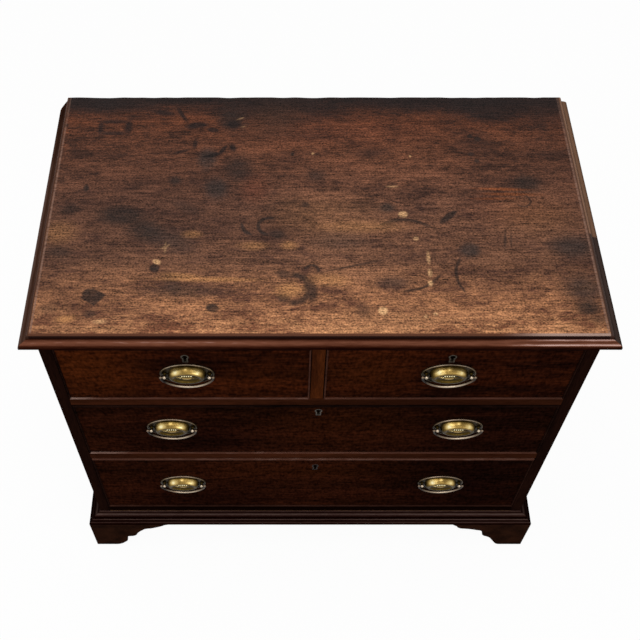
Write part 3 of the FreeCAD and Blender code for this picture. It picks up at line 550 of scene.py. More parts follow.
# Dents, drips, scratches, dots and rings on the top
MARKS: Marks = {
    Ink.PITCH: (
        Stain(-0.370, 0.214, 0.064, 0.010, 0, 0.90, 0.6),
        Stain(-0.368, 0.184, 0.056, 0.010, 0, 0.95, 0.6),
        Stain(-0.395, 0.198, 0.010, 0.040, 0, 0.90, 0.6),
        Stain(-0.344, 0.200, 0.014, 0.042, 0, 0.95, 0.6),
        Stain(-0.281, 0.237, 0.040, 0.014, -12, 0.90, 0.6),
        Stain(-0.246, 0.231, 0.008, 0.040, 28, 1.00, 0.6),
        Stain(-0.218, 0.204, 0.042, 0.016, 8, 1.00, 0.4),
        Stain(-0.188, 0.193, 0.022, 0.012, -10, 1.00, 0.4),
        Stain(-0.150, 0.207, 0.028, 0.022, 0, 1.00, 0.5),
        Stain(-0.219, 0.157, 0.008, 0.022, 0, 0.90, 0.5),
        Stain(-0.244, 0.138, 0.030, 0.006, 20, 0.85, 0.5),
        Stain(-0.187, 0.129, 0.036, 0.009, 16, 1.00, 0.4),
        Stain(-0.168, 0.142, 0.026, 0.008, 58, 1.00, 0.4),
        Stain(-0.150, 0.147, 0.012, 0.020, 20, 1.00, 0.5),
    ),
    Ink.BLACK: (
        Stain(-0.367, -0.184, 0.042, 0.037, 8, 0.95, 0.14, 0.35, Outline.DIAMOND),
        Stain(-0.376, -0.178, 0.020, 0.020, 20, 0.95, 0.2, 0.3),
        Stain(-0.272, -0.126, 0.0165, 0.017, 0, 0.98, 0.2, 0.3),
        Stain(-0.173, -0.206, 0.022, 0.016, -15, 0.95, 0.25, 0.4),
        Stain(-0.405, 0.051, 0.010, 0.016, 0, 0.98, 0.4, 0.3),
        Stain(0.226, -0.015, 0.042, 0.012, 42, 0.98, 0.3),
        Stain(0.058, -0.121, 0.100, 0.0042, 14, 0.80, 0.6),
        Stain(-0.058, -0.186, 0.022, 0.018, 10, 0.85, 0.5),
        Stain(-0.014, -0.171, 0.022, 0.046, 6, 0.90, 0.4),
        Stain(-0.058, -0.138, 0.026, 0.014, -8, 0.75, 0.5),
        Stain(-0.069, -0.054, 0.030, 0.018, -10, 0.85, 0.5),
        Stain(0.317, -0.066, 0.005, 0.034, -8, 0.75, 0.6),
        Stain(0.327, -0.066, 0.004, 0.030, -8, 0.60, 0.6),
        Stain(0.283, 0.177, 0.010, 0.010, 20, 0.90, 0.5),
        Stain(0.296, 0.170, 0.012, 0.010, 0, 0.92, 0.5),
        Stain(0.280, 0.132, 0.012, 0.010, 0, 0.92, 0.5),
        Stain(0.289, 0.115, 0.009, 0.010, 0, 0.92, 0.5),
        Stain(-0.020, 0.012, 0.014, 0.012, 0, 0.75, 0.5),
        Stain(-0.042, 0.132, 0.007, 0.009, 0, 0.90, 0.5),
        Ring(-0.011, -0.131, 0.0110, 0.0060, 75, 220, 0.88),
        Ring(-0.043, -0.168, 0.0280, 0.0130, -5, 235, 0.90),
        Ring(-0.110, -0.034, 0.0190, 0.0080, 215, 110, 0.96),
        Ring(-0.083, -0.036, 0.0180, 0.0075, 165, 250, 0.96),
        Ring(0.147, -0.092, 0.0700, 0.0070, 88, 88, 0.90),
        Ring(0.140, -0.100, 0.0720, 0.0055, -62, 66, 0.90),
        Ring(0.285, -0.139, 0.0580, 0.0060, 181, 84, 0.85),
        Ring(0.359, 0.021, 0.0130, 0.0045, 0, 355, 0.75),
    ),
    Ink.BROWN: (
        Ring(0.150, -0.060, 0.0550, 0.0040, 20, 60, 0.60),
        Ring(0.045, 0.145, 0.0150, 0.0040, 0, 355, 0.50),
    ),
    Ink.PALE: (
        Stain(-0.269, -0.113, 0.013, 0.009, -25, 0.80, 0.4),
        Stain(-0.257, -0.083, 0.004, 0.022, 0, 0.28, 0.6),
        Stain(-0.257, -0.081, 0.016, 0.005, 30, 0.28, 0.6),
        Stain(0.148, -0.010, 0.0160, 0.0135, 0, 0.62, 0.3, 0.3),
        Stain(0.102, -0.212, 0.0150, 0.0155, 0, 0.85, 0.3, 0.3),
        Stain(0.166, -0.063, 0.009, 0.008, 0, 0.50, 0.5),
        Stain(0.184, -0.104, 0.006, 0.022, 0, 0.55, 0.6),
        Stain(0.184, -0.136, 0.007, 0.014, 0, 0.65, 0.6),
        Stain(0.183, -0.157, 0.007, 0.011, 0, 0.75, 0.6),
        Stain(0.186, -0.218, 0.007, 0.006, 0, 0.65, 0.5),
        Stain(0.170, -0.223, 0.006, 0.006, 0, 0.60, 0.5),
        Stain(-0.138, 0.222, 0.013, 0.003, 24, 0.26, 0.7),
        Stain(-0.132, 0.201, 0.009, 0.003, 10, 0.24, 0.7),
        Stain(-0.005, 0.133, 0.005, 0.006, 0, 0.55, 0.5),
        Stain(0.170, 0.127, 0.004, 0.006, 0, 0.55, 0.5),
        Stain(0.133, 0.054, 0.018, 0.005, 0, 0.30, 0.7),
        Stain(-0.352, -0.233, 0.020, 0.007, 0, 0.50, 0.8),
    ),
    Ink.BUFF: (
        Stain(-0.185, -0.149, 0.145, 0.009, -1, 0.62, 0.7),
        Stain(-0.225, -0.143, 0.060, 0.012, -6, 0.55, 0.7),
        Stain(-0.048, -0.171, 0.040, 0.026, 0, 0.65, 0.7),
        Stain(0.018, -0.150, 0.056, 0.022, -4, 0.50, 0.8),
        Stain(-0.109, -0.079, 0.040, 0.016, 0, 0.40, 0.8),
        Stain(-0.048, -0.078, 0.024, 0.015, 0, 0.50, 0.8),
        Stain(-0.213, -0.054, 0.028, 0.014, 0, 0.38, 0.8),
        Stain(0.079, -0.037, 0.130, 0.024, 0, 0.28, 0.8),
        Stain(-0.440, -0.050, 0.050, 0.040, 0, 0.28, 0.8),
        Stain(-0.407, -0.228, 0.026, 0.014, 10, 0.70, 0.8),
    ),
    Ink.ORANGE: (
        Stain(0.325, 0.048, 0.080, 0.006, -2, 0.62, 0.7),
        Stain(0.340, 0.036, 0.090, 0.006, -1, 0.52, 0.7),
        Stain(0.310, 0.026, 0.070, 0.005, 0, 0.40, 0.7),
    ),
}
# Warmer and duller places on the drawer fronts, across and up
PATCHES: Marks = {
    Ink.WARM: (
        Stain(-0.385, 0.735, 0.170, 0.150, 0, 0.90, 0.9, 1.2),
        Stain(-0.120, 0.700, 0.220, 0.080, 0, 0.30, 0.9, 1.2),
        Stain(0.090, 0.725, 0.150, 0.110, 0, 0.50, 0.9, 1.2),
        Stain(0.050, 0.530, 0.260, 0.150, 0, 0.22, 0.9, 1.2),
        Stain(-0.020, 0.340, 0.420, 0.080, 0, 0.22, 0.9, 1.2),
    ),
    Ink.GLOOM: (
        Stain(-0.230, 0.745, 0.150, 0.070, 0, 0.58, 0.9, 1.2),
        Stain(0.235, 0.735, 0.120, 0.100, 0, 0.55, 0.9, 1.2),
        Stain(0.370, 0.720, 0.200, 0.220, 0, 0.45, 0.9, 1.2),
        Stain(-0.210, 0.470, 0.200, 0.120, 0, 0.50, 0.9, 1.2),
        Stain(0.350, 0.500, 0.300, 0.260, 0, 0.45, 0.9, 1.2),
        Stain(-0.240, 0.200, 0.300, 0.120, 0, 0.55, 0.9, 1.2),
        Stain(0.360, 0.270, 0.300, 0.320, 0, 0.65, 0.9, 1.2),
    ),
}


@dataclass(frozen=True)
class Finish:
    """A finish, which goes by its name."""

    name: str

    def begin(self) -> tuple[bpy.types.Material, Graph, bpy.types.Node]:
        """Start the finish's material.

        Returns:
            The material, its nodes and its shader.
        """
        material = bpy.data.materials.new(self.name)
        material.use_nodes = True
        return material, Graph(material.node_tree), material.node_tree.nodes["Principled BSDF"]

    def build(self) -> bpy.types.Material:
        """The finish as a material."""
        raise NotImplementedError


@dataclass(frozen=True)
class Wood(Finish):
    """A plain wood finish: which way it runs, its two tones, its gloss and how strongly its grain shows."""

    run: Run
    dark: Colour
    light: Colour
    roughness: float
    specular: float
    contrast: float = 1.0

    FIGURE_WEIGHT, FIBRE_WEIGHT = 0.65, 0.35
    TONE_SPAN = 0.2
    PORE_DARKNESS = 0.35
    ROUGHNESS_SPAN = (-0.06, 0.08)
    PORE_DEPTH = 0.6
    GRAIN_HEIGHT = 0.0004
    BUMP_STRENGTH = 0.5

    def direction(self, graph: Graph) -> Socket:
        """The place with the grain's way as its first part.

        Args:
            graph: The finish's nodes.

        Returns:
            The place, with its parts in the grain's order.
        """
        where = graph.where()
        x, y, z = graph.split(where)
        if self.run is Run.INWARD:
            return graph.join(y, x, z)
        if self.run is Run.UPRIGHT:
            return graph.join(z, x, y)
        if self.run is Run.ROUND:
            return graph.join(graph.math("ADD", x, y), z, graph.math("SUBTRACT", x, y))
        return where

    def colour(self, graph: Graph, figure: Socket, fibre: Socket, pores: Socket) -> Socket:
        """The wood's colour from its grain.

        Args:
            graph: The finish's nodes.
            figure, fibre, pores: The parts of the grain.

        Returns:
            The colour.
        """
        broad = graph.math("MULTIPLY", figure, self.FIGURE_WEIGHT)
        depth = graph.math("ADD", broad, graph.math("MULTIPLY", fibre, self.FIBRE_WEIGHT))
        span = self.TONE_SPAN / self.contrast
        even = graph.fade(depth, Graph.EVEN - span, Graph.EVEN + span)
        tone = graph.mix(even, self.dark, self.light)
        return graph.mix(graph.math("MULTIPLY", pores, self.PORE_DARKNESS), tone, self.dark, "MULTIPLY")

    def build(self) -> bpy.types.Material:
        """The finish as a material.

        Returns:
            The material.
        """
        material, graph, shader = self.begin()
        figure, fibre, pores = Grain().place(graph, self.direction(graph))
        graph.feed(shader.inputs["Base Color"], self.colour(graph, figure, fibre, pores))
        low, high = (self.roughness + change for change in self.ROUGHNESS_SPAN)
        graph.feed(shader.inputs["Roughness"], graph.spread(fibre, low, high))
        shader.inputs["Specular IOR Level"].default_value = self.specular
        height = graph.math("SUBTRACT", fibre, graph.math("MULTIPLY", pores, self.PORE_DEPTH))
        graph.feed(shader.inputs["Normal"], graph.bump(height, self.GRAIN_HEIGHT, self.BUMP_STRENGTH))
        return material


@dataclass(frozen=True)
class BandedWood(Wood):
    """A moulded wood whose tone follows the moulding, from painted shade in the hollows and on the lower
    faces to painted highlights on the ridges.

    From a joint on towards the front, a length can be in another wood, as a tint over the first.
    """

    middle: Colour = tint(0, 0, 0)
    # The glint colour at the top of the tone ramp is a painted reflection.
    painted_glint: Colour = tint(0, 0, 0)
    joint: float = -1.0
    newer: Colour = (0.27, 0.33, 0.46, 1.0)

    FIGURE_SWAY, FIBRE_SWAY = 0.35, 0.4
    MIDDLE_AT, LIGHT_AT = 0.35, 0.7
    JOINT_BLUR = 0.002

    def colour(self, graph: Graph, figure: Socket, fibre: Socket, pores: Socket) -> Socket:
        """The tone that the moulding's own vertices carry, painted shade and painted highlights, with some
        grain.

        Args:
            graph: The finish's nodes.
            figure, fibre, pores: The parts of the grain; the pores are not used.

        Returns:
            The colour.
        """
        value = graph.sway(graph.attribute("tone"), ((figure, self.FIGURE_SWAY), (fibre, self.FIBRE_SWAY)))
        places = (0.0, self.MIDDLE_AT, self.LIGHT_AT, 1.0)
        stops = tuple(zip(places, (self.dark, self.middle, self.light, self.painted_glint)))
        _, y, _ = graph.split(graph.where())
        in_front = graph.fade(y, self.joint + self.JOINT_BLUR, self.joint - self.JOINT_BLUR)
        return graph.mix(in_front, graph.ramp(value, stops), self.newer, "MULTIPLY")


@dataclass(frozen=True)
class SideWood(Wood):
    """A case side, whose front edge is painted darker than its face, as painted shade."""

    edge: float = -0.2525
    edge_shade_tint: Colour = (0.28, 0.39, 0.60, 1.0)

    EDGE_BLUR = 0.001

    def colour(self, graph: Graph, figure: Socket, fibre: Socket, pores: Socket) -> Socket:
        """The plain wood, darkened along the front edge as painted shade.

        Args:
            graph: The finish's nodes.
            figure, fibre, pores: The parts of the grain.

        Returns:
            The colour.
        """
        tone = super().colour(graph, figure, fibre, pores)
        _, y, _ = graph.split(graph.where())
        return graph.mix(graph.fade(y, self.edge + self.EDGE_BLUR, self.edge), tone, self.edge_shade_tint, "MULTIPLY")


@dataclass(frozen=True)
class WornFront(Wood):
    """A drawer front that is warmer in some places and darker in others."""

    STREAK_SCALE = (40.0, 1.0, 150.0)
    FLECK_SCALE = (190.0, 1.0, 110.0)
    STREAK_WEIGHT, FLECK_WEIGHT = 1.6, 1.7
    DULLEST = (0.42, 0.42, 0.42, 1.0)
    BRIGHTEST = (1.62, 1.58, 1.52, 1.0)

    def colour(self, graph: Graph, figure: Socket, fibre: Socket, pores: Socket) -> Socket:
        """The plain wood with its patches over it, then its streaks and flecks.

        Args:
            graph: The finish's nodes.
            figure, fibre, pores: The parts of the grain.

        Returns:
            The colour.
        """
        tone = super().colour(graph, figure, fibre, pores)
        where = graph.where()
        x, _, z = graph.split(where)
        flat = graph.join(x, z, 0.0)
        rough = graph.swing(figure)
        for ink, patches in PATCHES.items():
            tone = graph.mix(ink_share(graph, patches, flat, rough), tone, ink.value)
        streaks = graph.noise(graph.scaled(where, self.STREAK_SCALE), detail=2.0)
        flecks = graph.noise(graph.scaled(where, self.FLECK_SCALE), detail=1.0)
        fine = graph.sway(Graph.EVEN, ((streaks, self.STREAK_WEIGHT), (flecks, self.FLECK_WEIGHT)))
        return graph.mix(1.0, tone, graph.mix(fine, self.DULLEST, self.BRIGHTEST), "MULTIPLY")


@dataclass(frozen=True)
class WornTop(Wood):
    """The top's finish: faded towards the front, blackened along the back, stained and ringed by use."""

    half_width: float = 0.4665
    centre: float = -0.00095
    front: float = -0.2603
    back: float = 0.2783
    height: float = 0.840

    # How often each noise comes in a metre across and in depth
    CLOUD_SCALE = (4.5, 11.0, 1.0)
    PATCH_SCALE = (15.0, 42.0, 1.0)
    MOTTLE_SCALE = (70.0, 170.0, 1.0)
    RIM_SCALE = (110.0, 160.0, 1.0)
    THREAD_SCALE = (7.0, 420.0, 1.0)
    SPECKLE_SCALE = (320.0, 400.0, 1.0)
    # How much figure, patches, clouds and mottle count for the wear
    WEAR_WEIGHTS = (0.7, 2.2, 1.1, 2.4)
    # How much fibre, threads and speckle count for the grain
    FINE_WEIGHTS = (0.9, 0.65, 1.35)
    DARKEST = (0.02, 0.02, 0.02, 1.0)
    BRIGHTEST = (2.0, 2.0, 2.0, 1.0)
    PORE_SHARE = 0.6
    PORE_TINT = (0.45, 0.42, 0.41, 1.0)

    # Tones from the front to the back
    RUBBED = (
        (0.00, tint(186, 132, 91)),
        (0.12, tint(164, 112, 77)),
        (0.28, tint(123, 84, 62)),
        (0.50, tint(112, 75, 57)),
        (0.72, tint(108, 67, 48)),
        (0.88, tint(100, 57, 38)),
        (1.00, tint(70, 42, 31)),
    )
    DULL = (
        (0.00, tint(108, 66, 45)),
        (0.12, tint(87, 55, 41)),
        (0.28, tint(68, 45, 36)),
        (0.50, tint(59, 39, 32)),
        (0.72, tint(53, 33, 25)),
        (0.88, tint(48, 29, 22)),
        (1.00, tint(34, 25, 23)),
    )

    # The blackened band at the back: how far clouds and patches push its edge, where it lies, its strength
    BAND_CLOUDS, BAND_PATCHES = 0.10, 0.05
    BAND = (0.238, 0.272, 0.75)
    # What the mottle leaves of a stain
    STAIN_LEVELS, STAIN_SPAN = (0.35, 0.65), (0.72, 1.0)

    # The line that is rubbed pale inside the nosing: its two sides in from the end, its breaks and where
    # it starts to fade towards the back
    LINE_INNER, LINE_OUTER = (0.0098, 0.0086), (0.0056, 0.0068)
    LINE_LEVELS, LINE_SPAN = (0.38, 0.60), (0.3, 0.85)
    LINE_FADES_FROM, LINE_BACK_SPAN = 0.10, (0.35, 1.0)
    LINE_TINT = tint(128, 98, 84)

    # The nosing: distances in from the end and from the front, and down from the top
    NOSE_END, NOSE_FRONT, NOSE_DROP = (0.0060, 0.0050), (0.0053, 0.0045), (0.0011, 0.0021)
    GROOVE, GROOVE_SHARE = (0.0030, 0.0042), 0.9
    JOINT, HALVES = (-0.050, -0.054), (-0.1, 0.1)
    # The span across in which the painted highlight on the front nosing rises towards the right end, and its
    # strength
    HIGHLIGHT_CORNER = (0.28, 0.38, 0.9)
    LEFT_NOSE, RIGHT_NOSE, NEWER_NOSE = tint(74, 49, 39), tint(118, 88, 70), tint(60, 46, 41)
    # The pale front nosing colour is a painted highlight.
    FRONT_NOSE, PALE_NOSE, GROOVE_TINT = tint(84, 50, 34), tint(160, 134, 122), tint(66, 42, 30)
    # The lower face of the nosing is darkened as painted shade, at the front and at the ends.
    FRONT_GRIME, END_GRIME = tint(30, 11, 7), tint(56, 35, 27)

    def colour(self, graph: Graph, figure: Socket, fibre: Socket, pores: Socket) -> Socket:
        """The worn ground, then the stains over it, then the grain, and the nosing's tones with painted shade
        below it and a painted highlight at the front towards the right end.

        Args:
            graph: The finish's nodes.
            figure, fibre, pores: The parts of the grain.

        Returns:
            The colour.
        """
        where = graph.where()
        x, y, z = graph.split(where)
        clouds = graph.noise(graph.scaled(where, self.CLOUD_SCALE), detail=5.0, bend=0.6)
        patches = graph.noise(graph.scaled(where, self.PATCH_SCALE), detail=6.0, bend=0.5)
        mottle = graph.noise(graph.scaled(where, self.MOTTLE_SCALE), detail=4.0, rough=0.72)
        wear = graph.sway(Graph.EVEN, zip((figure, patches, clouds, mottle), self.WEAR_WEIGHTS))
        depth = graph.share(y, self.front, self.back)
        tone = graph.mix(wear, graph.ramp(depth, self.DULL), graph.ramp(depth, self.RUBBED))
        tone = graph.mix(self.back_band(graph, y, clouds, patches), tone, Ink.PITCH.value)
        tone = self.stained(graph, graph.join(x, y, 0.0), mottle, tone)
        threads = graph.noise(graph.scaled(where, self.THREAD_SCALE), detail=2.0)
        speckle = graph.noise(graph.scaled(where, self.SPECKLE_SCALE), detail=1.0)
        fine = graph.sway(Graph.EVEN, zip((fibre, threads, speckle), self.FINE_WEIGHTS))
        tone = graph.mix(1.0, tone, graph.mix(fine, self.DARKEST, self.BRIGHTEST), "MULTIPLY")
        tone = graph.mix(graph.math("MULTIPLY", pores, self.PORE_SHARE), tone, self.PORE_TINT, "MULTIPLY")
        tone = graph.mix(self.rubbed_line(graph, x, y, mottle), tone, self.LINE_TINT)
        return self.nosing(graph, (x, y, z), tone)

    def stained(self, graph: Graph, flat: Socket, mottle: Socket, tone: Socket) -> Socket:
        """The ground with its stains: the broad ones first, each ink in turn.

        Args:
            graph: The finish's nodes.
            flat: The place on the top.
            mottle: The noise that breaks the stains.
            tone: The ground's colour.

        Returns:
            The stained ground's colour.
        """
        rough = graph.swing(graph.noise(graph.scaled(flat, self.RIM_SCALE), detail=4.0))
        uneven = graph.spread(graph.fade(mottle, *self.STAIN_LEVELS), *self.STAIN_SPAN)
        for table in (CLOUDS, MARKS):
            for ink, marks in table.items():
                share = ink_share(graph, marks, flat, rough)
                tone = graph.mix(graph.math("MULTIPLY", share, uneven), tone, ink.value)
        return tone

    def back_band(self, graph: Graph, y: Socket, clouds: Socket, patches: Socket) -> Socket:
        """Where the top is blackened along its back.

        Args:
            graph: The finish's nodes.
            y: The depth on the top.
            clouds, patches: The noises that make the band's edge uneven.

        Returns:
            The band's share.
        """
        uneven = graph.math("MULTIPLY_ADD", graph.swing(clouds), self.BAND_CLOUDS, y)
        ragged = graph.math("MULTIPLY_ADD", graph.swing(patches), self.BAND_PATCHES, uneven)
        return graph.fade(ragged, *self.BAND)

    def from_end(self, graph: Graph, x: Socket, none: float, full: float, strength: float = 1.0) -> Socket:
        """A rise between two distances in from the nearer end."""
        side = graph.math("ABSOLUTE", graph.math("SUBTRACT", x, self.centre))
        return graph.fade(side, self.half_width - none, self.half_width - full, strength)

    def rubbed_line(self, graph: Graph, x: Socket, y: Socket, mottle: Socket) -> Socket:
        """Where the field's ends are rubbed pale just inside the nosing, less so towards the back.

        Args:
            graph: The finish's nodes.
            x, y: The place on the top.
            mottle: The noise that breaks the line.

        Returns:
            The line's share.
        """
        inner, outer = self.from_end(graph, x, *self.LINE_INNER), self.from_end(graph, x, *self.LINE_OUTER)
        broken = graph.spread(graph.fade(mottle, *self.LINE_LEVELS), *self.LINE_SPAN)
        forward = graph.spread(graph.fade(y, self.back, self.LINE_FADES_FROM), *self.LINE_BACK_SPAN)
        line = graph.math("MULTIPLY", inner, outer)
        return graph.math("MULTIPLY", line, graph.math("MULTIPLY", broken, forward))

    def nosing(self, graph: Graph, where: tuple[Socket, Socket, Socket], tone: Socket) -> Socket:
        """The rounded rim: rubbed above with a painted highlight on the front towards the right end, painted
        shade below, and newer wood at the front of the right end.

        Args:
            graph: The finish's nodes.
            where: The place on the board.
            tone: The field's colour.

        Returns:
            The colour of the field and its rim.
        """
        x, y, z = where
        at_end = self.from_end(graph, x, *self.NOSE_END)
        right_end = graph.mix(graph.fade(y, *self.JOINT), self.RIGHT_NOSE, self.NEWER_NOSE)
        end = graph.mix(graph.fade(x, *self.HALVES), self.LEFT_NOSE, right_end)
        end = graph.mix(self.from_end(graph, x, *self.GROOVE, self.GROOVE_SHARE), end, self.GROOVE_TINT)
        front = graph.mix(graph.fade(x, *self.HIGHLIGHT_CORNER), self.FRONT_NOSE, self.PALE_NOSE)
        upper = graph.mix(at_end, front, end)
        lower = graph.mix(at_end, self.FRONT_GRIME, self.END_GRIME)
        at_front = graph.fade(y, *(self.front + inward for inward in self.NOSE_FRONT))
        tone = graph.mix(graph.math("MAXIMUM", at_end, at_front), tone, upper)
        return graph.mix(graph.fade(z, *(self.height - drop for drop in self.NOSE_DROP)), tone, lower)


@dataclass(frozen=True)
class Brass(Finish):
    """Lacquered brass whose tone runs from tarnish to gold, and bare pale metal where its rub is full; tone
    and rub also carry painted light and shade.
    """

    gold: Stops
    bare: Stops
    roughness: float

    TARNISH_SCALE, TARNISH_DETAIL = 420.0, 4.0
    TARNISH_WEIGHT = 0.28
    TARNISH_ROUGHNESS = 0.2
    BUMP = (0.0002, 0.25)

    def build(self) -> bpy.types.Material:
        """The finish as a material, which reads each piece's own tone and rub, where painted light and shade
        are also carried.

        Returns:
            The material.
        """
        material, graph, shader = self.begin()
        tarnish = graph.noise(graph.where(), self.TARNISH_SCALE, self.TARNISH_DETAIL)
        value = graph.sway(graph.attribute("tone"), ((tarnish, self.TARNISH_WEIGHT),))
        colour = graph.mix(graph.attribute("rub_and_sheen"), graph.ramp(value, self.gold), graph.ramp(value, self.bare))
        graph.feed(shader.inputs["Base Color"], colour)
        rough = graph.spread(value, self.roughness + self.TARNISH_ROUGHNESS, self.roughness)
        graph.feed(shader.inputs["Roughness"], rough)
        shader.inputs["Metallic"].default_value = 1.0
        graph.feed(shader.inputs["Normal"], graph.bump(tarnish, *self.BUMP))
        return material


@dataclass(frozen=True)
class DullMetal(Finish):
    """The plain dull brass of locks and key linings."""

    dark: Colour
    light: Colour
    roughness: float

    CLOUD_SCALE, CLOUD_DETAIL = 260.0, 4.0
    CLOUD_LEVELS = (0.35, 0.65)
    CLOUD_ROUGHNESS = 0.2
    METALLIC = 0.9
    BUMP = (0.0003, 0.3)

    def build(self) -> bpy.types.Material:
        """The finish as a material.

        Returns:
            The material.
        """
        material, graph, shader = self.begin()
        cloud = graph.noise(graph.where(), self.CLOUD_SCALE, self.CLOUD_DETAIL)
        colour = graph.mix(graph.fade(cloud, *self.CLOUD_LEVELS), self.dark, self.light)
        graph.feed(shader.inputs["Base Color"], colour)
        rough = graph.spread(cloud, self.roughness, self.roughness + self.CLOUD_ROUGHNESS)
        graph.feed(shader.inputs["Roughness"], rough)
        shader.inputs["Metallic"].default_value = self.METALLIC
        graph.feed(shader.inputs["Normal"], graph.bump(cloud, *self.BUMP))
        return material


class Finishes:
    """Every finish of the chest, built once."""

    RAIL = (tint(40, 18, 9), tint(65, 32, 18))
    # The bottom board's front, between the lowest drawer and the base, is near black: grime, with painted
    # shade.
    GRIME_AND_SHADE_RAIL = (tint(9, 2, 1), tint(18, 6, 4))
    CASE = (tint(34, 15, 8), tint(66, 31, 17))
    DIVIDER = (tint(50, 22, 9), tint(86, 42, 17))
    FOOT = (tint(24, 13, 9), tint(47, 26, 17))
    UPPER_FRONT = (tint(26, 10, 5), tint(58, 24, 10))
    LOWER_FRONT = (tint(20, 8, 4), tint(43, 18, 9))
    TOP = (tint(34, 25, 23), tint(176, 124, 77))
    OAK = (tint(118, 82, 48), tint(170, 128, 82))
    PINE = (tint(96, 65, 38), tint(148, 106, 65))
    LOCK = (tint(34, 29, 24), tint(70, 62, 52))
    DARK_LOCK = (tint(17, 9, 6), tint(38, 28, 22))
    GOLD = (
        (0.0, tint(22, 16, 6)),
        (0.25, tint(64, 50, 18)),
        (0.5, tint(136, 110, 58)),
        (0.75, tint(208, 182, 116)),
        (1.0, tint(252, 242, 196)),
    )
    BARE_METAL = (
        (0.0, tint(30, 24, 20)),
        (0.5, tint(124, 106, 88)),
        (1.0, tint(226, 208, 182)),
    )
    # Each moulding's way, its tones from painted shade to painted highlight, the last a painted reflection,
    # and its roughness
    MOULDINGS = {
        "edge_front": (
            Run.ACROSS, tint(26, 6, 3), tint(64, 31, 19), tint(108, 66, 49), tint(186, 152, 142), 0.34,
        ),
        "edge_left": (
            Run.INWARD, tint(30, 14, 9), tint(58, 37, 28), tint(84, 64, 57), tint(124, 100, 90), 0.34,
        ),
        "edge_right": (
            Run.INWARD, tint(40, 24, 15), tint(76, 54, 40), tint(110, 82, 64), tint(134, 104, 86), 0.34,
        ),
        "base_across": (
            Run.ACROSS, tint(11, 1, 0), tint(38, 20, 16), tint(66, 45, 40), tint(94, 76, 70), 0.36,
        ),
        "base_inward": (Run.INWARD, tint(9, 1, 0), tint(22, 11, 9), tint(38, 23, 20), tint(58, 44, 40), 0.36),
        "bead": (Run.ACROSS, tint(12, 6, 5), tint(46, 26, 20), tint(86, 54, 43), tint(138, 112, 102), 0.34),
    }
    # Where a length of moulding goes on in newer wood
    JOINTS = {"edge_right": -0.052}

    def __init__(self) -> None:
        """Build the materials by their plain names."""
        finishes = (
            WornTop("worn_top", Run.ACROSS, *self.TOP, roughness=0.5, specular=0.06),
            Wood("rail", Run.ACROSS, *self.RAIL, roughness=0.4, specular=0.0),
            Wood("grime_and_shade_rail", Run.ACROSS, *self.GRIME_AND_SHADE_RAIL, roughness=0.45, specular=0.0),
            SideWood("case_upright", Run.UPRIGHT, *self.CASE, roughness=0.4, specular=0.0),
            Wood("divider", Run.UPRIGHT, *self.DIVIDER, roughness=0.4, specular=0.0),
            Wood("foot", Run.ROUND, *self.FOOT, roughness=0.4, specular=0.0),
            WornFront("upper_front", Run.ACROSS, *self.UPPER_FRONT, 0.3, 0.0, contrast=1.5),
            WornFront("lower_front", Run.ACROSS, *self.LOWER_FRONT, 0.3, 0.0, contrast=1.4),
            Wood("oak_inward", Run.INWARD, *self.OAK, roughness=0.6, specular=0.2),
            Wood("oak_across", Run.ACROSS, *self.OAK, roughness=0.6, specular=0.2),
            Wood("pine_across", Run.ACROSS, *self.PINE, roughness=0.65, specular=0.2),
            Wood("pine_upright", Run.UPRIGHT, *self.PINE, roughness=0.7, specular=0.2),
            Brass("stamped_brass", self.GOLD, self.BARE_METAL, roughness=0.22),
            DullMetal("lock_brass", *self.LOCK, roughness=0.4),
            DullMetal("dark_lock", *self.DARK_LOCK, roughness=0.5),
            *(self.moulding(name) for name in self.MOULDINGS),
        )
        self.by_name = {finish.name: finish.build() for finish in finishes}

    def moulding(self, name: str) -> BandedWood:
        """One moulding's finish.

        Args:
            name: The finish's name.

        Returns:
            The finish, not yet built.
        """
        run, dark, middle, light, painted_glint, roughness = self.MOULDINGS[name]
        joint = self.JOINTS.get(name, BandedWood.joint)
        return BandedWood(name, run, dark, light, roughness, 0.0, middle=middle, painted_glint=painted_glint, joint=joint)

    def get(self, name: str) -> bpy.types.Material:
        """One finish by its name."""
        return self.by_name[name]


@dataclass
class Workshop:
    """What every sub-assembly needs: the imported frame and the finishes."""

    frame: dict
    finishes: Finishes
    rounding_steps: int = 2
    rounded_angle: float = math.radians(40)
    sharp_angle: float = math.radians(38)

    def dress(self, node: str, finish: str) -> None:
        """Give a carried-over solid its finish.

        Args:
            node: The solid's name.
            finish: The finish's name.
        """
        materials = self.frame["nodes"][node].data.materials
        materials.clear()
        materials.append(self.finishes.get(finish))

    def soften(self, node: str, radius: float) -> None:
        """Take the sharpness off a carried-over solid's edges.

        Args:
            node: The solid's name.
            radius: How far the rounding reaches.
        """
        item = self.frame["nodes"][node]
        weld = item.modifiers.new("weld", "WELD")
        weld.merge_threshold = TINY
        rounding = item.modifiers.new("rounding", "BEVEL")
        rounding.width = radius
        rounding.segments = self.rounding_steps
        rounding.limit_method = "ANGLE"
        rounding.angle_limit = self.rounded_angle
        rounding.harden_normals = True

    def piece(self, name: str, bm: bmesh.types.BMesh, finish: str, body: str, slot: str, node: str) -> None:
        """Turn a finished bmesh into a piece of the chest.

        Args:
            name: The piece's name.
            bm: Its mesh, in place in the frame.
            finish: The name of its finish.
            body: The body that it rides on.
            slot: The record's material slot; not used.
            node: The solid that it stands for.
        """
        bmesh.ops.recalc_face_normals(bm, faces=bm.faces)
        mesh = bpy.data.meshes.new(name)
        bm.to_mesh(mesh)
        bm.free()
        mesh.shade_smooth()
        mesh.set_sharp_from_angle(angle=self.sharp_angle)
        mesh.materials.append(self.finishes.get(finish))
        item = bpy.data.objects.new(name, mesh)
        bpy.context.scene.collection.objects.link(item)
        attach(item, body)
        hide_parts(node)
        log.info("%s: %d faces on %s", name, len(mesh.polygons), body)


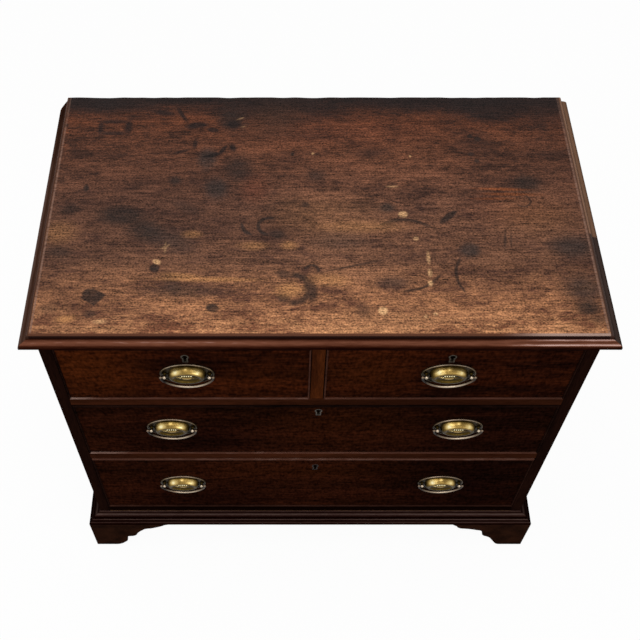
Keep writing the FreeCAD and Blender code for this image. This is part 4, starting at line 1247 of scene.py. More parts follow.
@dataclass(frozen=True)
class Strip:
    """A moulding drawn as a section, outwards and upwards, and carried along a line.

    Each of the section's corners has its tone, and the rounded ones are given by their index and radius. The
    tones can change to others between two shares of the length.
    """

    section: tuple[tuple[float, float], ...]
    tones: tuple[float, ...]
    rounded: tuple[tuple[int, float], ...]
    wave: float
    end_tones: tuple[float, ...] = ()
    change: tuple[float, float] = (0.0, 1.0)
    pitch: float = 0.03

    ARC_STEP = 0.0006
    FEWEST_STEPS, MOST_STEPS = 2, 7
    PARALLEL = 0.999
    WAVES_PER_METRE = 24.0

    def add(self, bm: bmesh.types.BMesh, start: Vector, end: Vector, out: Vector, up: Vector,
            mitres: tuple[bool, bool]) -> None:
        """Add a length of the moulding to a mesh.

        Args:
            bm: The mesh to add to.
            start, end: The inner lower corner of the section at the two ends.
            out, up: The ways of the section's two parts.
            mitres: Whether each end is cut back at 45 degrees towards the inside.
        """
        strip = bmesh.new()
        along = (end - start).normalized()
        length = (end - start).length
        corners = [strip.verts.new(start + out * x + up * y) for x, y in self.section]
        face = strip.faces.new(corners)
        bmesh.ops.extrude_face_region(strip, geom=[face], use_keep_orig=True)
        moved = [v for v in strip.verts if v not in corners]
        bmesh.ops.translate(strip, verts=moved, vec=along * length)
        for index, radius in self.rounded:
            place = start + out * self.section[index][0] + up * self.section[index][1]
            edges = [e for e in strip.edges if self.runs_through(e, place, along)]
            steps = min(max(self.FEWEST_STEPS, round(radius / self.ARC_STEP)), self.MOST_STEPS)
            bmesh.ops.bevel(strip, geom=edges, offset=radius, affect="EDGES", segments=steps, profile=0.5,
                            material=-1, clamp_overlap=True)
        outer = max(x for x, _ in self.section)
        for is_mitred, place, way in ((mitres[0], start, -along), (mitres[1], end, along)):
            if is_mitred:
                self.cut_back(strip, place + out * outer, way - out)
        bmesh.ops.recalc_face_normals(strip, faces=strip.faces)
        self.ripple(strip, along, length)
        self.mark(strip, start, end, out, up)
        made = bpy.data.meshes.new("strip")
        strip.to_mesh(made)
        strip.free()
        bm.from_mesh(made)
        bpy.data.meshes.remove(made)

    @staticmethod
    def runs_through(edge: bmesh.types.BMEdge, place: Vector, along: Vector) -> bool:
        """Whether an edge lies along the strip through a place."""
        gaps = [v.co - place for v in edge.verts]
        return all((gap - along * gap.dot(along)).length < TINY for gap in gaps)

    @staticmethod
    def cut_back(strip: bmesh.types.BMesh, place: Vector, normal: Vector) -> None:
        """Cut an end off along a plane and close it.

        Args:
            strip: The mesh.
            place: A place on the plane.
            normal: The way towards what goes.
        """
        geom = [*strip.verts, *strip.edges, *strip.faces]
        cut = bmesh.ops.bisect_plane(strip, geom=geom, plane_co=place, plane_no=normal, clear_outer=True)
        rim = [g for g in cut["geom_cut"] if isinstance(g, bmesh.types.BMEdge)]
        bmesh.ops.edgeloop_fill(strip, edges=rim)

    def ripple(self, strip: bmesh.types.BMesh, along: Vector, length: float) -> None:
        """Divide the strip along its length and let its surface waver as a hand-planed one does.

        Args:
            strip: The mesh.
            along: The strip's way.
            length: The strip's length.
        """
        long_edges = []
        for edge in strip.edges:
            way = (edge.verts[1].co - edge.verts[0].co).normalized()
            if abs(way.dot(along)) > self.PARALLEL and edge.calc_length() > length / 2:
                long_edges.append(edge)
        bmesh.ops.subdivide_edges(strip, edges=long_edges, cuts=int(length / self.pitch), use_grid_fill=True)
        strip.normal_update()
        places = [vert.co.copy() for vert in strip.verts]
        limits = [(min(part), max(part)) for part in zip(*places)]
        for vert in strip.verts:
            depth = 0.5 + 0.5 * noise.noise(vert.co * self.WAVES_PER_METRE)
            moved = vert.co - vert.normal * self.wave * depth
            vert.co = [min(max(value, low), high) for value, (low, high) in zip(moved, limits)]

    def mark(self, strip: bmesh.types.BMesh, start: Vector, end: Vector, out: Vector, up: Vector) -> None:
        """Give each vertex the tone of the section's nearest place.

        Args:
            strip: The finished strip.
            start, end: The inner lower corner of the section at the two ends.
            out, up: The ways of the section's two parts.
        """
        layer = strip.verts.layers.float.new("tone")
        corners = [Vector((x, y, 0.0)) for x, y in self.section]
        end_tones = self.end_tones or self.tones
        first, last = self.change
        along = (end - start) / (end - start).length_squared
        for vert in strip.verts:
            away = vert.co - start
            changed = clamped((away.dot(along) - first) / (last - first))
            tones = [tone + changed * (other - tone) for tone, other in zip(self.tones, end_tones)]
            place = Vector((away.dot(out), away.dot(up), 0.0))
            nearest = math.inf
            for index, corner in enumerate(corners):
                share = clamped(intersect_point_line(place, corners[index - 1], corner)[1])
                gap = (corners[index - 1].lerp(corner, share) - place).length
                if gap < nearest:
                    nearest = gap
                    vert[layer] = tones[index - 1] * (1 - share) + tones[index] * share


@dataclass
class MouldedAssembly:
    """A sub-assembly with a moulding in three lengths, along the front and both sides."""

    shop: Workshop

    @staticmethod
    def moulding(kind: str, side: Side, strip: Strip) -> bmesh.types.BMesh:
        """One length of a moulding, mitred at the front corners, along the place of its solid.

        Args:
            kind: The moulding's name in the solids' names.
            side: The side that the length lies on.
            strip: Its section and tones.

        Returns:
            The mesh.
        """
        front_low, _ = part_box(f"{kind}_moulding_front")
        low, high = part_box(f"{kind}_moulding_{side.value}")
        bm = bmesh.new()
        if side is Side.FRONT:
            start, end = Vector((low.x, high.y, low.z)), Vector((high.x, high.y, low.z))
            strip.add(bm, start, end, FORWARD, UP, (True, True))
        else:
            x, out = (high.x, -1) if side is Side.LEFT else (low.x, 1)
            start, end = Vector((x, front_low.y, front_low.z)), Vector((x, high.y, front_low.z))
            strip.add(bm, start, end, Vector((out, 0, 0)), UP, (True, False))
        return bm


@dataclass
class TopAssembly(MouldedAssembly):
    """The top board and the moulding round its front and ends."""

    nosing: float = 0.004
    nosing_steps: int = 5
    back_wear: float = 0.0014
    back_wear_down: float = 0.6
    back_wear_bias: float = 0.25
    back_depth: float = 0.004
    back_cuts: int = 120
    nibbles_per_metre: float = 30.0
    edge_wave: float = 0.00025
    broken_corner: tuple[float, float] = (0.0115, 0.022)

    SECTION = (
        (0.0, 0.0), (0.0135, 0.0), (0.0135, 0.0078), (0.0103, 0.00945), (0.0092, 0.0100), (0.0060, 0.0107),
        (0.0032, 0.0112), (0.0015, 0.0115), (0.0, 0.0115),
    )
    ROUNDED = ((2, 0.0028), (1, 0.0008))
    # The tones of the section's corners where a length starts, those it changes to, and between which shares
    # These tones are painted shade on the lower faces and painted highlights on the rounded edges; the front
    # length's later tones are painted reflections near its right end.
    TONES = {
        Side.FRONT: (
            (0.0, 0.0, 0.18, 0.55, 0.60, 0.69, 0.52, 0.28, 0.14),
            (0.0, 0.0, 0.12, 1.15, 0.76, 0.42, 0.80, 1.0, 0.10),
            (0.78, 0.88),
        ),
        Side.LEFT: (
            (0.2, 0.2, 0.74, 0.68, 0.55, 0.30, 0.52, 0.30, 0.10),
            (0.1, 0.1, 0.20, 0.18, 0.15, 0.08, 0.20, 0.10, 0.05),
            (0.6, 0.95),
        ),
        Side.RIGHT: ((0.2, 0.2, 0.34, 0.50, 0.62, 0.72, 0.55, 0.20, 0.05), (), (0.0, 1.0)),
    }
    # What the nibbled edge's noise is read at besides the place across
    NOISE_ROW = 1.7

    def board(self) -> None:
        """The top board: rounded at the front and ends, nibbled along the back."""
        low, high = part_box("top_board")
        bm = bmesh.new()
        bmesh.ops.create_cube(bm, size=1.0)
        bmesh.ops.scale(bm, vec=high - low, verts=bm.verts)
        bmesh.ops.translate(bm, vec=(low + high) / 2, verts=bm.verts)
        upper = [e for e in bm.edges if all(abs(v.co.z - high.z) < TINY for v in e.verts)]
        nosed = [e for e in upper if not all(abs(v.co.y - high.y) < TINY for v in e.verts)]
        bmesh.ops.bevel(bm, geom=nosed, offset=self.nosing, affect="EDGES", segments=self.nosing_steps,
                        profile=0.5, material=-1)
        half = (high.x - low.x) / 2
        across = [e for e in bm.edges if abs(e.verts[0].co.x - e.verts[1].co.x) > half]
        bmesh.ops.subdivide_edges(bm, edges=across, cuts=self.back_cuts, use_grid_fill=True)
        bmesh.ops.bisect_plane(bm, geom=[*bm.verts, *bm.edges, *bm.faces],
                               plane_co=high - Vector((0, self.back_depth, 0)), plane_no=(0, 1, 0))
        for vert in bm.verts:
            if vert.co.y > high.y - 10 * TINY and vert.co.z > high.z - 10 * TINY:
                place = Vector((vert.co.x * self.nibbles_per_metre, self.NOISE_ROW, 0.0))
                worn = self.back_wear * max(0.0, noise.noise(place) + self.back_wear_bias)
                vert.co.y -= worn
                vert.co.z -= worn * self.back_wear_down
        self.shop.piece("top_field", bm, "worn_top", "carcase", "mahogany_top", "top_board")

    def break_corner(self, bm: bmesh.types.BMesh) -> None:
        """Take the lost back corner off the left length of moulding.

        Args:
            bm: The length's mesh.
        """
        low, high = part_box("edge_moulding_left")
        across, inward = self.broken_corner
        Strip.cut_back(bm, Vector((low.x, high.y - inward, low.z)), Vector((-inward, across, 0)))

    def build(self) -> None:
        """Build the top."""
        self.board()
        for side, (tones, end_tones, change) in self.TONES.items():
            strip = Strip(self.SECTION, tones, self.ROUNDED, self.edge_wave, end_tones, change)
            bm = self.moulding("edge", side, strip)
            if side is Side.LEFT:
                self.break_corner(bm)
            hand = side.value
            self.shop.piece(f"{hand}_edge_moulding", bm, f"edge_{hand}", "carcase", "mahogany_top",
                            f"edge_moulding_{hand}")


@dataclass
class BaseAssembly(MouldedAssembly):
    """The moulded base and its bracket feet."""

    # The section's corners carry painted shade in the hollows and painted highlights on the ledges and the
    # ovolo, a little brighter towards the right end.
    section: Strip = Strip(
        section=(
            (0.0, 0.0), (0.0245, 0.0), (0.0245, 0.0052), (0.0205, 0.0052), (0.0205, 0.0112), (0.0160, 0.0112),
            (0.0160, 0.0130), (0.0160, 0.0195), (0.0080, 0.0195), (0.0028, 0.0195), (0.0028, 0.0215),
            (0.0, 0.0215),
        ),
        tones=(0.0, 0.0, 0.0, 0.74, -0.3, 1.0, 0.0, -0.35, 0.98, 0.0, 0.76, 0.55),
        rounded=((7, 0.0063), (2, 0.0010), (1, 0.0006), (4, 0.0006), (10, 0.0006)),
        wave=0.00025,
        end_tones=(0.0, 0.0, 0.05, 0.84, -0.2, 1.2, 0.0, -0.3, 1.0, 0.05, 0.76, 0.55),
        change=(0.5, 0.9),
    )

    FEET = ("foot_front_left", "foot_front_right", "foot_rear_left", "foot_rear_right")

    def build(self) -> None:
        """Build the base and dress the feet."""
        for side in Side:
            hand = side.value
            bm = self.moulding("base", side, self.section)
            finish = "base_across" if side is Side.FRONT else "base_inward"
            self.shop.piece(f"{hand}_base_moulding", bm, finish, "carcase", "mahogany_case",
                            f"base_moulding_{hand}")
        for foot in self.FEET:
            self.shop.dress(foot, "foot")
        self.shop.dress("glue_blocks", "pine_upright")
        self.shop.dress("base_rails", "pine_across")


@dataclass
class CaseAssembly:
    """The case's sides, rails, boards and back."""

    shop: Workshop
    edge_radius: float = 0.0007

    FINISHES = {
        "case_side_left": "case_upright",
        "case_side_right": "case_upright",
        "centre_divider": "divider",
        "top_rails": "rail",
        "drawer_rails": "rail",
        "bottom_board": "grime_and_shade_rail",
        "dust_boards": "pine_across",
        "drawer_stops": "pine_across",
        "back_boards": "pine_upright",
    }
    SOFTENED = ("case_side_left", "case_side_right", "centre_divider", "drawer_rails", "bottom_board")

    def build(self) -> None:
        """Dress the case."""
        for node, finish in self.FINISHES.items():
            self.shop.dress(node, finish)
        for node in self.SOFTENED:
            self.shop.soften(node, self.edge_radius)


@dataclass
class DrawerAssembly:
    """One drawer: its beaded front, its box and its lock."""

    shop: Workshop
    name: str
    bead_thickness: float = 0.0032
    bead_flat: float = 0.0001
    bead_wave: float = 0.0001

    # Painted light on the lower, upper, left and right bead of each drawer, where they start and farther on:
    # lit beads light, shaded ones dark
    BEAD_TONES = {
        "upper_left": ((1.0, 0.70), (0.07, 0.07), (0.08, 0.08), (0.52, 0.52)),
        "upper_right": ((0.70, 0.62), (0.07, 0.07), (0.48, 0.48), (0.16, 0.16)),
        "middle": ((1.0, 0.64), (0.13, 0.13), (0.08, 0.08), (0.10, 0.10)),
        "lower": ((0.40, 0.34), (0.66, 0.72), (0.10, 0.10), (0.22, 0.22)),
    }
    BEAD_CHANGE = (0.01, 0.14)

    def beads(self) -> None:
        """The mitred frame of cock beads."""
        low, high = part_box(f"{self.name}_cock_beads")
        depth = high.y - low.y
        thick = self.bead_thickness
        nose = thick / 2 - self.bead_flat
        section = ((0.0, 0.0), (thick, 0.0), (thick, depth), (0.0, depth))
        left, right, bottom, top = low.x + thick, high.x - thick, low.z + thick, high.z - thick
        runs = (
            ((low.x, bottom), (high.x, bottom), (0, -1)),
            ((low.x, top), (high.x, top), (0, 1)),
            ((left, low.z), (left, high.z), (-1, 0)),
            ((right, low.z), (right, high.z), (1, 0)),
        )
        bm = bmesh.new()
        for ((x0, z0), (x1, z1), (way_x, way_z)), tones in zip(runs, self.BEAD_TONES[self.name]):
            first, rest = ((tone,) * len(section) for tone in tones)
            strip = Strip(section, first, ((2, nose), (3, nose)), self.bead_wave, rest, self.BEAD_CHANGE)
            start, end = Vector((x0, high.y, z0)), Vector((x1, high.y, z1))
            strip.add(bm, start, end, Vector((way_x, 0, way_z)), FORWARD, (True, True))
        self.shop.piece(f"{self.name}_bead_frame", bm, "bead", f"{self.name}_drawer", "mahogany_front",
                        f"{self.name}_cock_beads")

    def build(self) -> None:
        """Dress the drawer and add its beads."""
        finishes = {
            "drawer_front": "upper_front" if self.name.startswith("upper") else "lower_front",
            "drawer_sides": "oak_inward",
            "drawer_back": "oak_across",
            "drawer_bottom": "oak_across",
            "lock": "dark_lock" if self.name == "lower" else "lock_brass",
            "lock_bolt": "lock_brass",
        }
        for node, finish in finishes.items():
            self.shop.dress(f"{self.name}_{node}", finish)
        self.beads()


@dataclass
class HandleAssembly:
    """A stamped oval plate, its two ball-headed posts with their nuts, and its bail."""

    shop: Workshop
    name: str
    drawer: str
    half_length: float = 0.0465
    half_height: float = 0.0305
    plate_steps: int = 96
    post_reach: float = 0.008
    post_steps: int = 24
    half_spacing: float = 0.038
    ball_radius: float = 0.0034
    bail_half: float = 0.0444
    bail_drop: float = 0.031
    bail_corner: float = 0.020
    bail_radius: float = 0.0023
    knob_radius: float = 0.0027
    pin_radius: float = 0.0016
    round_steps: int = 16
    wood_depth: float = 0.022
    nut_half: float = 0.0042
    nut_depth: float = 0.004
    nut_rounding: float = 0.0006
    shank_radii: tuple[float, float] = (0.0022, 0.0020)
    shank_length: float = 0.002

    # Shares of the oval and the distance out from the drawer front, with the tone above and below its middle:
    # lighter above as painted light, darker below as painted shade
    PLATE = (
        (0.0, 0.0091, 0.16, 0.16),
        (0.20, 0.0091, 0.14, 0.16),
        (0.38, 0.0093, 0.08, 0.18),
        (0.430, 0.0097, 0.04, 0.20),
        (0.470, 0.0110, 0.10, 0.26),
        (0.500, 0.0118, 0.26, 0.26),
        (0.540, 0.0122, 0.34, 0.18),
        (0.570, 0.0121, 0.44, 0.14),
        (0.600, 0.0117, 0.46, 0.12),
        (0.632, 0.0106, 0.42, 0.10),
        (0.664, 0.0083, 0.40, 0.08),
        (0.688, 0.0054, 0.42, 0.08),
        (0.702, 0.0028, 0.30, 0.06),
        (0.715, 0.0014, 0.14, 0.04),
        (0.76, 0.0012, 0.10, 0.04),
        (0.86, 0.0012, 0.14, 0.04),
        (0.905, 0.0013, 0.14, 0.05),
        (0.930, 0.0019, 0.46, 0.06),
        (0.965, 0.0022, 0.58, 0.08),
        (0.988, 0.0019, 0.48, 0.08),
        (1.0, 0.0010, 0.20, 0.08),
        (1.0, 0.0, 0.1, 0.08),
    )
    # Painted highlights: the angle and its reach, the share of the oval and its reach, and the tone
    PAINTED_HIGHLIGHTS = (
        (128.0, 27.0, 0.655, 0.090, 1.08),
        (51.0, 27.0, 0.650, 0.080, 1.00),
        (92.0, 9.0, 0.688, 0.030, 0.72),
        (116.0, 32.0, 0.960, 0.050, 0.80),
        (68.0, 18.0, 0.960, 0.050, 0.72),
    )
    RISE_BIAS = 0.15
    LIP_SHARE = 0.915
    DOME_SHARE = 0.705
    WELL_SHARE = 0.50
    WELL_SQUASH = 0.22

    # The relief: how far up each lump is, its half sizes across, out and up, and its tone
    RELIEF_FLOOR = 0.0094
    BASKET = ((-0.0018, (0.0086, 0.0012, 0.0046), 0.52), (0.0030, (0.0094, 0.0014, 0.0009), 0.16))
    FRUIT, FRUITS, FRUIT_PITCH = (0.0060, (0.0015, 0.0017, 0.0015), 0.95), 5, 0.0038
    # The leaves beside it: the first one's place across and up and its turn, and the steps to the next
    LEAF_SIZE, LEAVES = (0.0026, 0.0011, 0.0009), 3
    LEAF_START, LEAF_STEP = (0.0108, 0.0008, 40), (0.0030, 0.0014, -14)
    # The left spray is lighter than the right as a painted highlight.
    LEAF_TONES, LEAF_FADE = {-1: 0.80, 1: 0.42}, 0.16

    # The ball's steps and their angle, then the post's neck and collar as radius and distance out
    BALL_STEPS, BALL_ANGLE = 9, 17
    COLLAR = (
        (0.0022, 0.0046), (0.0026, 0.0036), (0.0036, 0.0028), (0.0044, 0.0024), (0.0044, 0.0012),
        (0.0, 0.0012),
    )
    NUT_TURNS = {-1: -8, 1: 20}
    # The pin's dark tone is painted shade in the gap between the ball and the knob.
    POST_TONE, BALL_TONE, NUT_TONE, KNOB_TONE, PIN_TONE = 0.1, 0.72, 0.3, 0.45, 0.2
    # The bow's tone in its middle, how it tilts to the right, and how it falls off towards the ends: a
    # painted highlight along the middle, brighter to the right, and painted shade towards the ends
    BOW_TONE, BOW_TILT, BOW_FALL, BOW_POWER = 0.65, 0.18, 0.85, 3.5
    CORNER_STEPS, BOW_STEPS = 12, 28

    def place(self) -> Vector:
        """Where the handle's middle meets the drawer front.

        Returns:
            The place.
        """
        joint = next(j for j in self.shop.frame["joints"] if j["name"] == f"{self.name}_bail_swing")
        x, _, z = joint["pos_m"]
        return Vector((x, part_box(f"{self.drawer}_drawer_front")[0].y, z))

    @staticmethod
    def blank() -> bmesh.types.BMesh:
        """Start a mesh whose vertices carry a tone and a rub.

        Returns:
            The empty mesh.
        """
        bm = bmesh.new()
        for name in ("tone", "rub_and_sheen"):
            bm.verts.layers.float.new(name)
        return bm

    @staticmethod
    def set_look(bm: bmesh.types.BMesh, verts: Verts, tone: float, rub_and_sheen: float) -> None:
        """Mark vertices with the tone of their brass and with how bare it is rubbed; on the plate, the bow
        and the pin these also carry painted light and shade.

        Args:
            bm: The mesh.
            verts: The vertices.
            tone: From tarnish at 0 to gold at 1.
            rub_and_sheen: From lacquered at 0 to bare at 1.
        """
        for name, value in (("tone", tone), ("rub_and_sheen", rub_and_sheen)):
            layer = bm.verts.layers.float[name]
            for vert in verts:
                vert[layer] = value

    @staticmethod
    def turn(bm: bmesh.types.BMesh, verts: Verts, angle: float, axis: str) -> None:
        """Turn vertices about an axis through the origin, by an angle in degrees."""
        matrix = Matrix.Rotation(math.radians(angle), 3, axis)
        bmesh.ops.rotate(bm, cent=(0, 0, 0), matrix=matrix, verts=verts)

    def rod(self, bm: bmesh.types.BMesh, radii: tuple[float, float], length: float) -> Verts:
        """Add a round rod along Z, closed at both ends, and return its vertices."""
        return bmesh.ops.create_cone(bm, cap_ends=True, segments=self.round_steps, radius1=radii[0],
                                     radius2=radii[1], depth=length)["verts"]

    @staticmethod
    def lathe(bm: bmesh.types.BMesh, outline: Sequence[tuple[float, float]], steps: int) -> Verts:
        """Turn an outline of radius and distance out about the way out of the drawer front.

        Args:
            bm: The mesh to add to.
            outline: From the front's middle to the back.
            steps: How many steps make the full turn.

        Returns:
            The new vertices.
        """
        before = set(bm.verts)
        line = [bm.verts.new((radius, -out, 0.0)) for radius, out in outline]
        edges = [bm.edges.new(pair) for pair in zip(line, line[1:])]
        bmesh.ops.spin(bm, geom=[*line, *edges], cent=(0, 0, 0), axis=(0, 1, 0), dvec=(0, 0, 0),
                       angle=math.tau, steps=steps, use_merge=True, use_duplicate=False)
        new = [v for v in bm.verts if v not in before]
        bmesh.ops.remove_doubles(bm, verts=new, dist=TINY / 10)
        return [v for v in bm.verts if v not in before]

    def plate(self) -> bmesh.types.BMesh:
        """The stamped plate with its relief: an oval dome with a flatter sunk middle.

        Returns:
            The mesh.
        """
        bm = self.blank()
        outline = [(share, out) for share, out, _, _ in self.PLATE]
        verts = self.lathe(bm, [*outline, (0.0, 0.0)], self.plate_steps)
        self.paint_light_and_shade(bm, verts)
        for vert in verts:
            share = math.hypot(vert.co.x, vert.co.z)
            narrow = clamped((self.DOME_SHARE - share) / (self.DOME_SHARE - self.WELL_SHARE))
            vert.co.z *= 1.0 - self.WELL_SQUASH * narrow
        bmesh.ops.scale(bm, vec=(self.half_length, 1.0, self.half_height), verts=verts)
        self.relief(bm)
        return bm

    def paint_light_and_shade(self, bm: bmesh.types.BMesh, verts: Verts) -> None:
        """Give the round blank its tones: painted light above, painted shade below, with a few painted
        highlights, and on the lip a bare rub that rises towards the top as painted sheen.

        Args:
            bm: The plate's mesh.
            verts: The blank's vertices.
        """
        for vert in verts:
            place = Vector((vert.co.x, vert.co.z))
            share = place.length
            _, _, above, below = min(self.PLATE[:-1], key=lambda ring: abs(ring[0] - share))
            rise = clamped(self.RISE_BIAS + place.y / max(share, 0.01))
            tone = below + (above - below) * rise
            angle = math.degrees(math.atan2(place.y, place.x))
            for facing, reach, ring, width, bright in self.PAINTED_HIGHLIGHTS:
                near = max(0.0, 1.0 - abs(angle - facing) / reach) * max(0.0, 1.0 - abs(share - ring) / width)
                tone += max(0.0, bright - tone) * near
            self.set_look(bm, [vert], tone, rise if share > self.LIP_SHARE else 0.0)

    def lump(self, bm: bmesh.types.BMesh, place: tuple[float, float], size: tuple[float, float, float],
             tone: float, turn: float = 0.0) -> None:
        """Add one small rounded lump of relief.

        Args:
            bm: The plate's mesh.
            place: Its middle from the plate's own, across and up.
            size: Its half sizes across, out and up.
            tone: The tone of its brass.
            turn: Its turn in the plate's face, in degrees.
        """
        verts = bmesh.ops.create_uvsphere(bm, u_segments=12, v_segments=8, radius=1.0)["verts"]
        bmesh.ops.scale(bm, vec=size, verts=verts)
        self.turn(bm, verts, turn, "Y")
        bmesh.ops.translate(bm, vec=(place[0], -self.RELIEF_FLOOR, place[1]), verts=verts)
        self.set_look(bm, verts, tone, 0.0)

    def relief(self, bm: bmesh.types.BMesh) -> None:
        """A basket of fruit between two leaf sprays, in the sunk middle.

        Args:
            bm: The plate's mesh.
        """
        for up, size, tone in self.BASKET:
            self.lump(bm, (0.0, up), size, tone)
        up, size, tone = self.FRUIT
        for index in range(self.FRUITS):
            self.lump(bm, (self.FRUIT_PITCH * (index - self.FRUITS // 2), up), size, tone)
        for side, tone in self.LEAF_TONES.items():
            for index in range(self.LEAVES):
                steps = zip(self.LEAF_START, self.LEAF_STEP)
                across, up, turn = (first + index * step for first, step in steps)
                self.lump(bm, (side * across, up), self.LEAF_SIZE, tone - self.LEAF_FADE * index, side * turn)

    def post(self, bm: bmesh.types.BMesh, side: int) -> None:
        """One ball-headed post with its collar, and its shank end and square nut inside the drawer.

        Args:
            bm: The posts' mesh.
            side: -1 for the left post, 1 for the right.
        """
        x = side * self.half_spacing
        angles = [math.radians(step * self.BALL_ANGLE) for step in range(self.BALL_STEPS)]
        radius = self.ball_radius
        ball = [(radius * math.sin(a), self.post_reach + radius * math.cos(a)) for a in angles]
        neck = ball[-1][1]
        verts = self.lathe(bm, [*ball, *self.COLLAR], self.post_steps)
        self.set_look(bm, verts, self.POST_TONE, 0.0)
        self.set_look(bm, [v for v in verts if -v.co.y > neck], self.BALL_TONE, 1.0)
        bmesh.ops.translate(bm, vec=(x, 0, 0), verts=verts)
        nut = bmesh.ops.create_cube(bm, size=1.0)["verts"]
        bmesh.ops.scale(bm, vec=(2 * self.nut_half, self.nut_depth, 2 * self.nut_half), verts=nut)
        self.turn(bm, nut, self.NUT_TURNS[side], "Y")
        bmesh.ops.translate(bm, vec=(x, self.wood_depth + self.nut_depth / 2, 0), verts=nut)
        self.set_look(bm, nut, self.NUT_TONE, 0.0)
        edges = list({e for v in nut for e in v.link_edges})
        bmesh.ops.bevel(bm, geom=edges, offset=self.nut_rounding, affect="EDGES", segments=2, profile=0.5,
                        material=-1)
        shank = self.rod(bm, self.shank_radii, self.shank_length)
        self.turn(bm, shank, -90, "X")
        bmesh.ops.translate(bm, vec=(x, self.wood_depth + self.nut_depth, 0), verts=shank)
        self.set_look(bm, shank, self.NUT_TONE, 0.0)

    def bail(self) -> bmesh.types.BMesh:
        """The bow in three arcs, with a knob and an inward pin at each end.

        Returns:
            The mesh.
        """
        bm = self.blank()
        spread, below = self.bail_half - self.bail_corner, self.bail_drop - self.bail_corner
        rise = (spread ** 2 - below ** 2) / (2 * below)
        corner_angle = math.atan2(rise, spread)
        circle = bmesh.ops.create_circle(bm, segments=self.round_steps, radius=self.bail_radius)["verts"]
        bmesh.ops.translate(bm, vec=(self.bail_half, 0, 0), verts=circle)
        geom = [*circle, *{e for v in circle for e in v.link_edges}]
        arcs = (
            ((spread, 0, 0), corner_angle, self.CORNER_STEPS),
            ((0, 0, rise), math.pi - 2 * corner_angle, self.BOW_STEPS),
            ((-spread, 0, 0), corner_angle, self.CORNER_STEPS),
        )
        for centre, angle, steps in arcs:
            turned = bmesh.ops.spin(bm, geom=geom, cent=centre, axis=(0, 1, 0), dvec=(0, 0, 0), angle=angle,
                                    steps=steps, use_merge=False, use_duplicate=False)
            geom = turned["geom_last"]
        bmesh.ops.holes_fill(bm, edges=[e for e in bm.edges if e.is_boundary], sides=0)
        for vert in bm.verts:
            share = vert.co.x / self.bail_half
            tone = self.BOW_TONE + self.BOW_TILT * share - self.BOW_FALL * abs(share) ** self.BOW_POWER
            self.set_look(bm, [vert], tone, 1.0)
        for side in (-1, 1):
            self.bail_end(bm, side)
        return bm

    def bail_end(self, bm: bmesh.types.BMesh, side: int) -> None:
        """The knob and the pin at one end of the bow.

        Args:
            bm: The bail's mesh.
            side: -1 for the left end, 1 for the right.
        """
        knob = bmesh.ops.create_uvsphere(bm, u_segments=16, v_segments=10, radius=self.knob_radius)["verts"]
        bmesh.ops.translate(bm, vec=(side * self.bail_half, 0, 0), verts=knob)
        self.set_look(bm, knob, self.KNOB_TONE, 1.0)
        length = self.bail_half - self.half_spacing + self.ball_radius
        pin = self.rod(bm, (self.pin_radius, self.pin_radius), length)
        self.turn(bm, pin, 90, "Y")
        bmesh.ops.translate(bm, vec=(side * (self.bail_half - length / 2), 0, 0), verts=pin)
        self.set_look(bm, pin, self.PIN_TONE, 1.0)

    def build(self) -> None:
        """Build the handle on its drawer."""
        place = self.place()
        posts = self.blank()
        for side in (-1, 1):
            self.post(posts, side)
        drawer, mounts = f"{self.drawer}_drawer", f"{self.drawer}_handle_mounts"
        pieces = (
            ("plate", self.plate(), place, drawer, mounts),
            ("posts", posts, place, drawer, mounts),
            ("bow", self.bail(), place + FORWARD * self.post_reach, f"{self.name}_bail", f"{self.name}_bail"),
        )
        for kind, bm, middle, body, node in pieces:
            bmesh.ops.translate(bm, vec=middle, verts=bm.verts)
            self.shop.piece(f"{self.name}_{kind}", bm, "stamped_brass", body, "brass", node)


@dataclass(frozen=True)
class Lamp:
    """A soft box: its name, its place and what it aims at, its width and height, and its power in watts."""

    name: str
    place: tuple[float, float, float]
    aim: tuple[float, float, float]
    size: tuple[float, float]
    power: float

    def build(self) -> None:
        """Hang the lamp where the camera doesn't see it."""
        data = bpy.data.lights.new(self.name, "AREA")
        data.shape = "RECTANGLE"
        data.size, data.size_y = self.size
        data.energy = self.power
        item = bpy.data.objects.new(self.name, data)
        item.location = self.place
        way = Vector(self.aim) - Vector(self.place)
        item.rotation_euler = way.to_track_quat("-Z", "Y").to_euler()
        item.visible_camera = False
        bpy.context.scene.collection.objects.link(item)


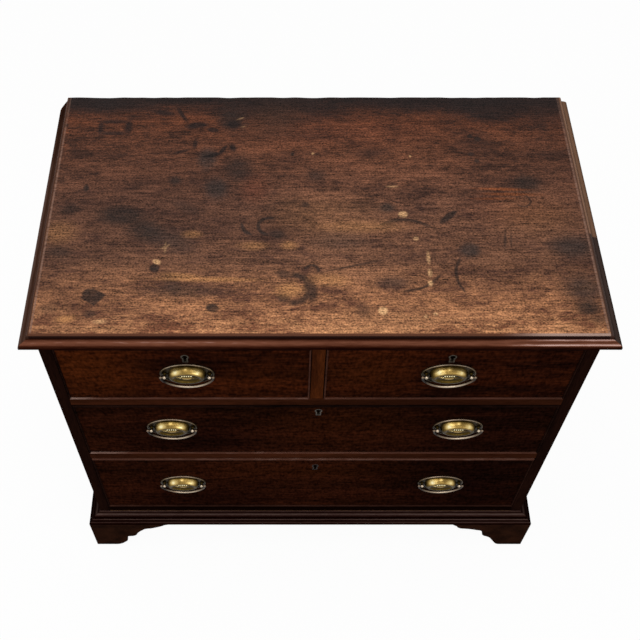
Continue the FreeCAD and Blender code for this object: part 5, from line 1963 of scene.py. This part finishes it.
@dataclass
class Studio:
    """The camera at the photograph's place, the pale floor and the soft light."""

    camera_place: tuple[float, float, float] = (-0.05727, -1.10551, 2.13297)
    camera_tilt: float = 34.11
    lens: float = 54.971
    sensor: float = 36.0
    shift: float = 0.0563
    floor_half: float = 8.0
    floor_tone: Colour = (0.92, 0.92, 0.92, 1.0)
    floor_glow: float = 0.955
    ambient: float = 0.45
    ambient_tint: Colour = (1.0, 0.98, 0.96, 1.0)
    backdrop: Colour = (1.0, 1.0, 1.0, 1.0)
    lamps: tuple[Lamp, ...] = (
        Lamp("overhead", (-0.3, -0.3, 3.2), (0.0, 0.0, 0.84), (2.6, 2.0), 46.0),
        Lamp("front", (0.6, -3.2, 2.4), (0.0, -0.25, 0.5), (2.4, 1.6), 26.0),
    )

    def camera(self) -> None:
        """The camera as it was fitted to the photograph's edges."""
        data = bpy.data.cameras.new("view")
        data.sensor_width = self.sensor
        data.lens = self.lens
        data.shift_x = self.shift
        item = bpy.data.objects.new("view", data)
        item.location = self.camera_place
        item.rotation_euler = (math.radians(self.camera_tilt), 0.0, 0.0)
        bpy.context.scene.collection.objects.link(item)
        bpy.context.scene.camera = item

    @staticmethod
    def seen(graph: Graph) -> Socket:
        """The rays that show the background: straight ones, reflected ones and ones through glass.

        Args:
            graph: The nodes of the world or the floor.

        Returns:
            1 for such a ray, 0 for any other.
        """
        path = graph.node("ShaderNodeLightPath").outputs
        straight = graph.math("MAXIMUM", path["Is Camera Ray"], path["Is Glossy Ray"])
        return graph.math("MAXIMUM", straight, path["Is Transmission Ray"])

    def world(self) -> None:
        """White where it shows, and an even light on the chest."""
        world = bpy.data.worlds.new("studio")
        bpy.context.scene.world = world
        world.use_nodes = True
        graph = Graph(world.node_tree)
        background = world.node_tree.nodes["Background"]
        background.inputs["Strength"].default_value = self.ambient
        background.inputs["Color"].default_value = self.ambient_tint
        white = graph.node("ShaderNodeBackground", {"Color": self.backdrop})
        given = {0: self.seen(graph), 1: background.outputs[0], 2: white.outputs[0]}
        mixed = graph.node("ShaderNodeMixShader", given)
        graph.feed(world.node_tree.nodes["World Output"].inputs["Surface"], mixed.outputs[0])

    def floor(self) -> None:
        """A white floor that keeps a soft shadow of the chest."""
        bm = bmesh.new()
        bmesh.ops.create_grid(bm, x_segments=1, y_segments=1, size=self.floor_half)
        mesh = bpy.data.meshes.new("floor")
        bm.to_mesh(mesh)
        bm.free()
        item = bpy.data.objects.new("floor", mesh)
        bpy.context.scene.collection.objects.link(item)
        material, graph, shader = Finish("pale_floor").begin()
        material.node_tree.nodes.remove(shader)
        matt = graph.node("ShaderNodeBsdfDiffuse", {"Color": self.floor_tone})
        glow = graph.node("ShaderNodeEmission")
        shown = graph.math("MULTIPLY", self.seen(graph), self.floor_glow)
        mixed = graph.node("ShaderNodeMixShader", {0: shown, 1: matt.outputs[0], 2: glow.outputs[0]})
        graph.feed(material.node_tree.nodes["Material Output"].inputs["Surface"], mixed.outputs[0])
        mesh.materials.append(material)

    def build(self) -> None:
        """Set up the studio."""
        bpy.context.scene.view_settings.view_transform = "Standard"
        self.camera()
        self.world()
        self.floor()
        for lamp in self.lamps:
            lamp.build()


def main() -> None:
    """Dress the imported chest, piece by piece, and set up the studio."""
    logging.basicConfig(level=logging.INFO, format="%(name)s: %(message)s")
    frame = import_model()
    shop = Workshop(frame, Finishes())
    TopAssembly(shop).build()
    CaseAssembly(shop).build()
    BaseAssembly(shop).build()
    for name in DRAWERS:
        DrawerAssembly(shop, name).build()
    for name, drawer in HANDLES.items():
        HandleAssembly(shop, name, drawer).build()
    Studio().build()


if __name__ == "__main__":
    main()
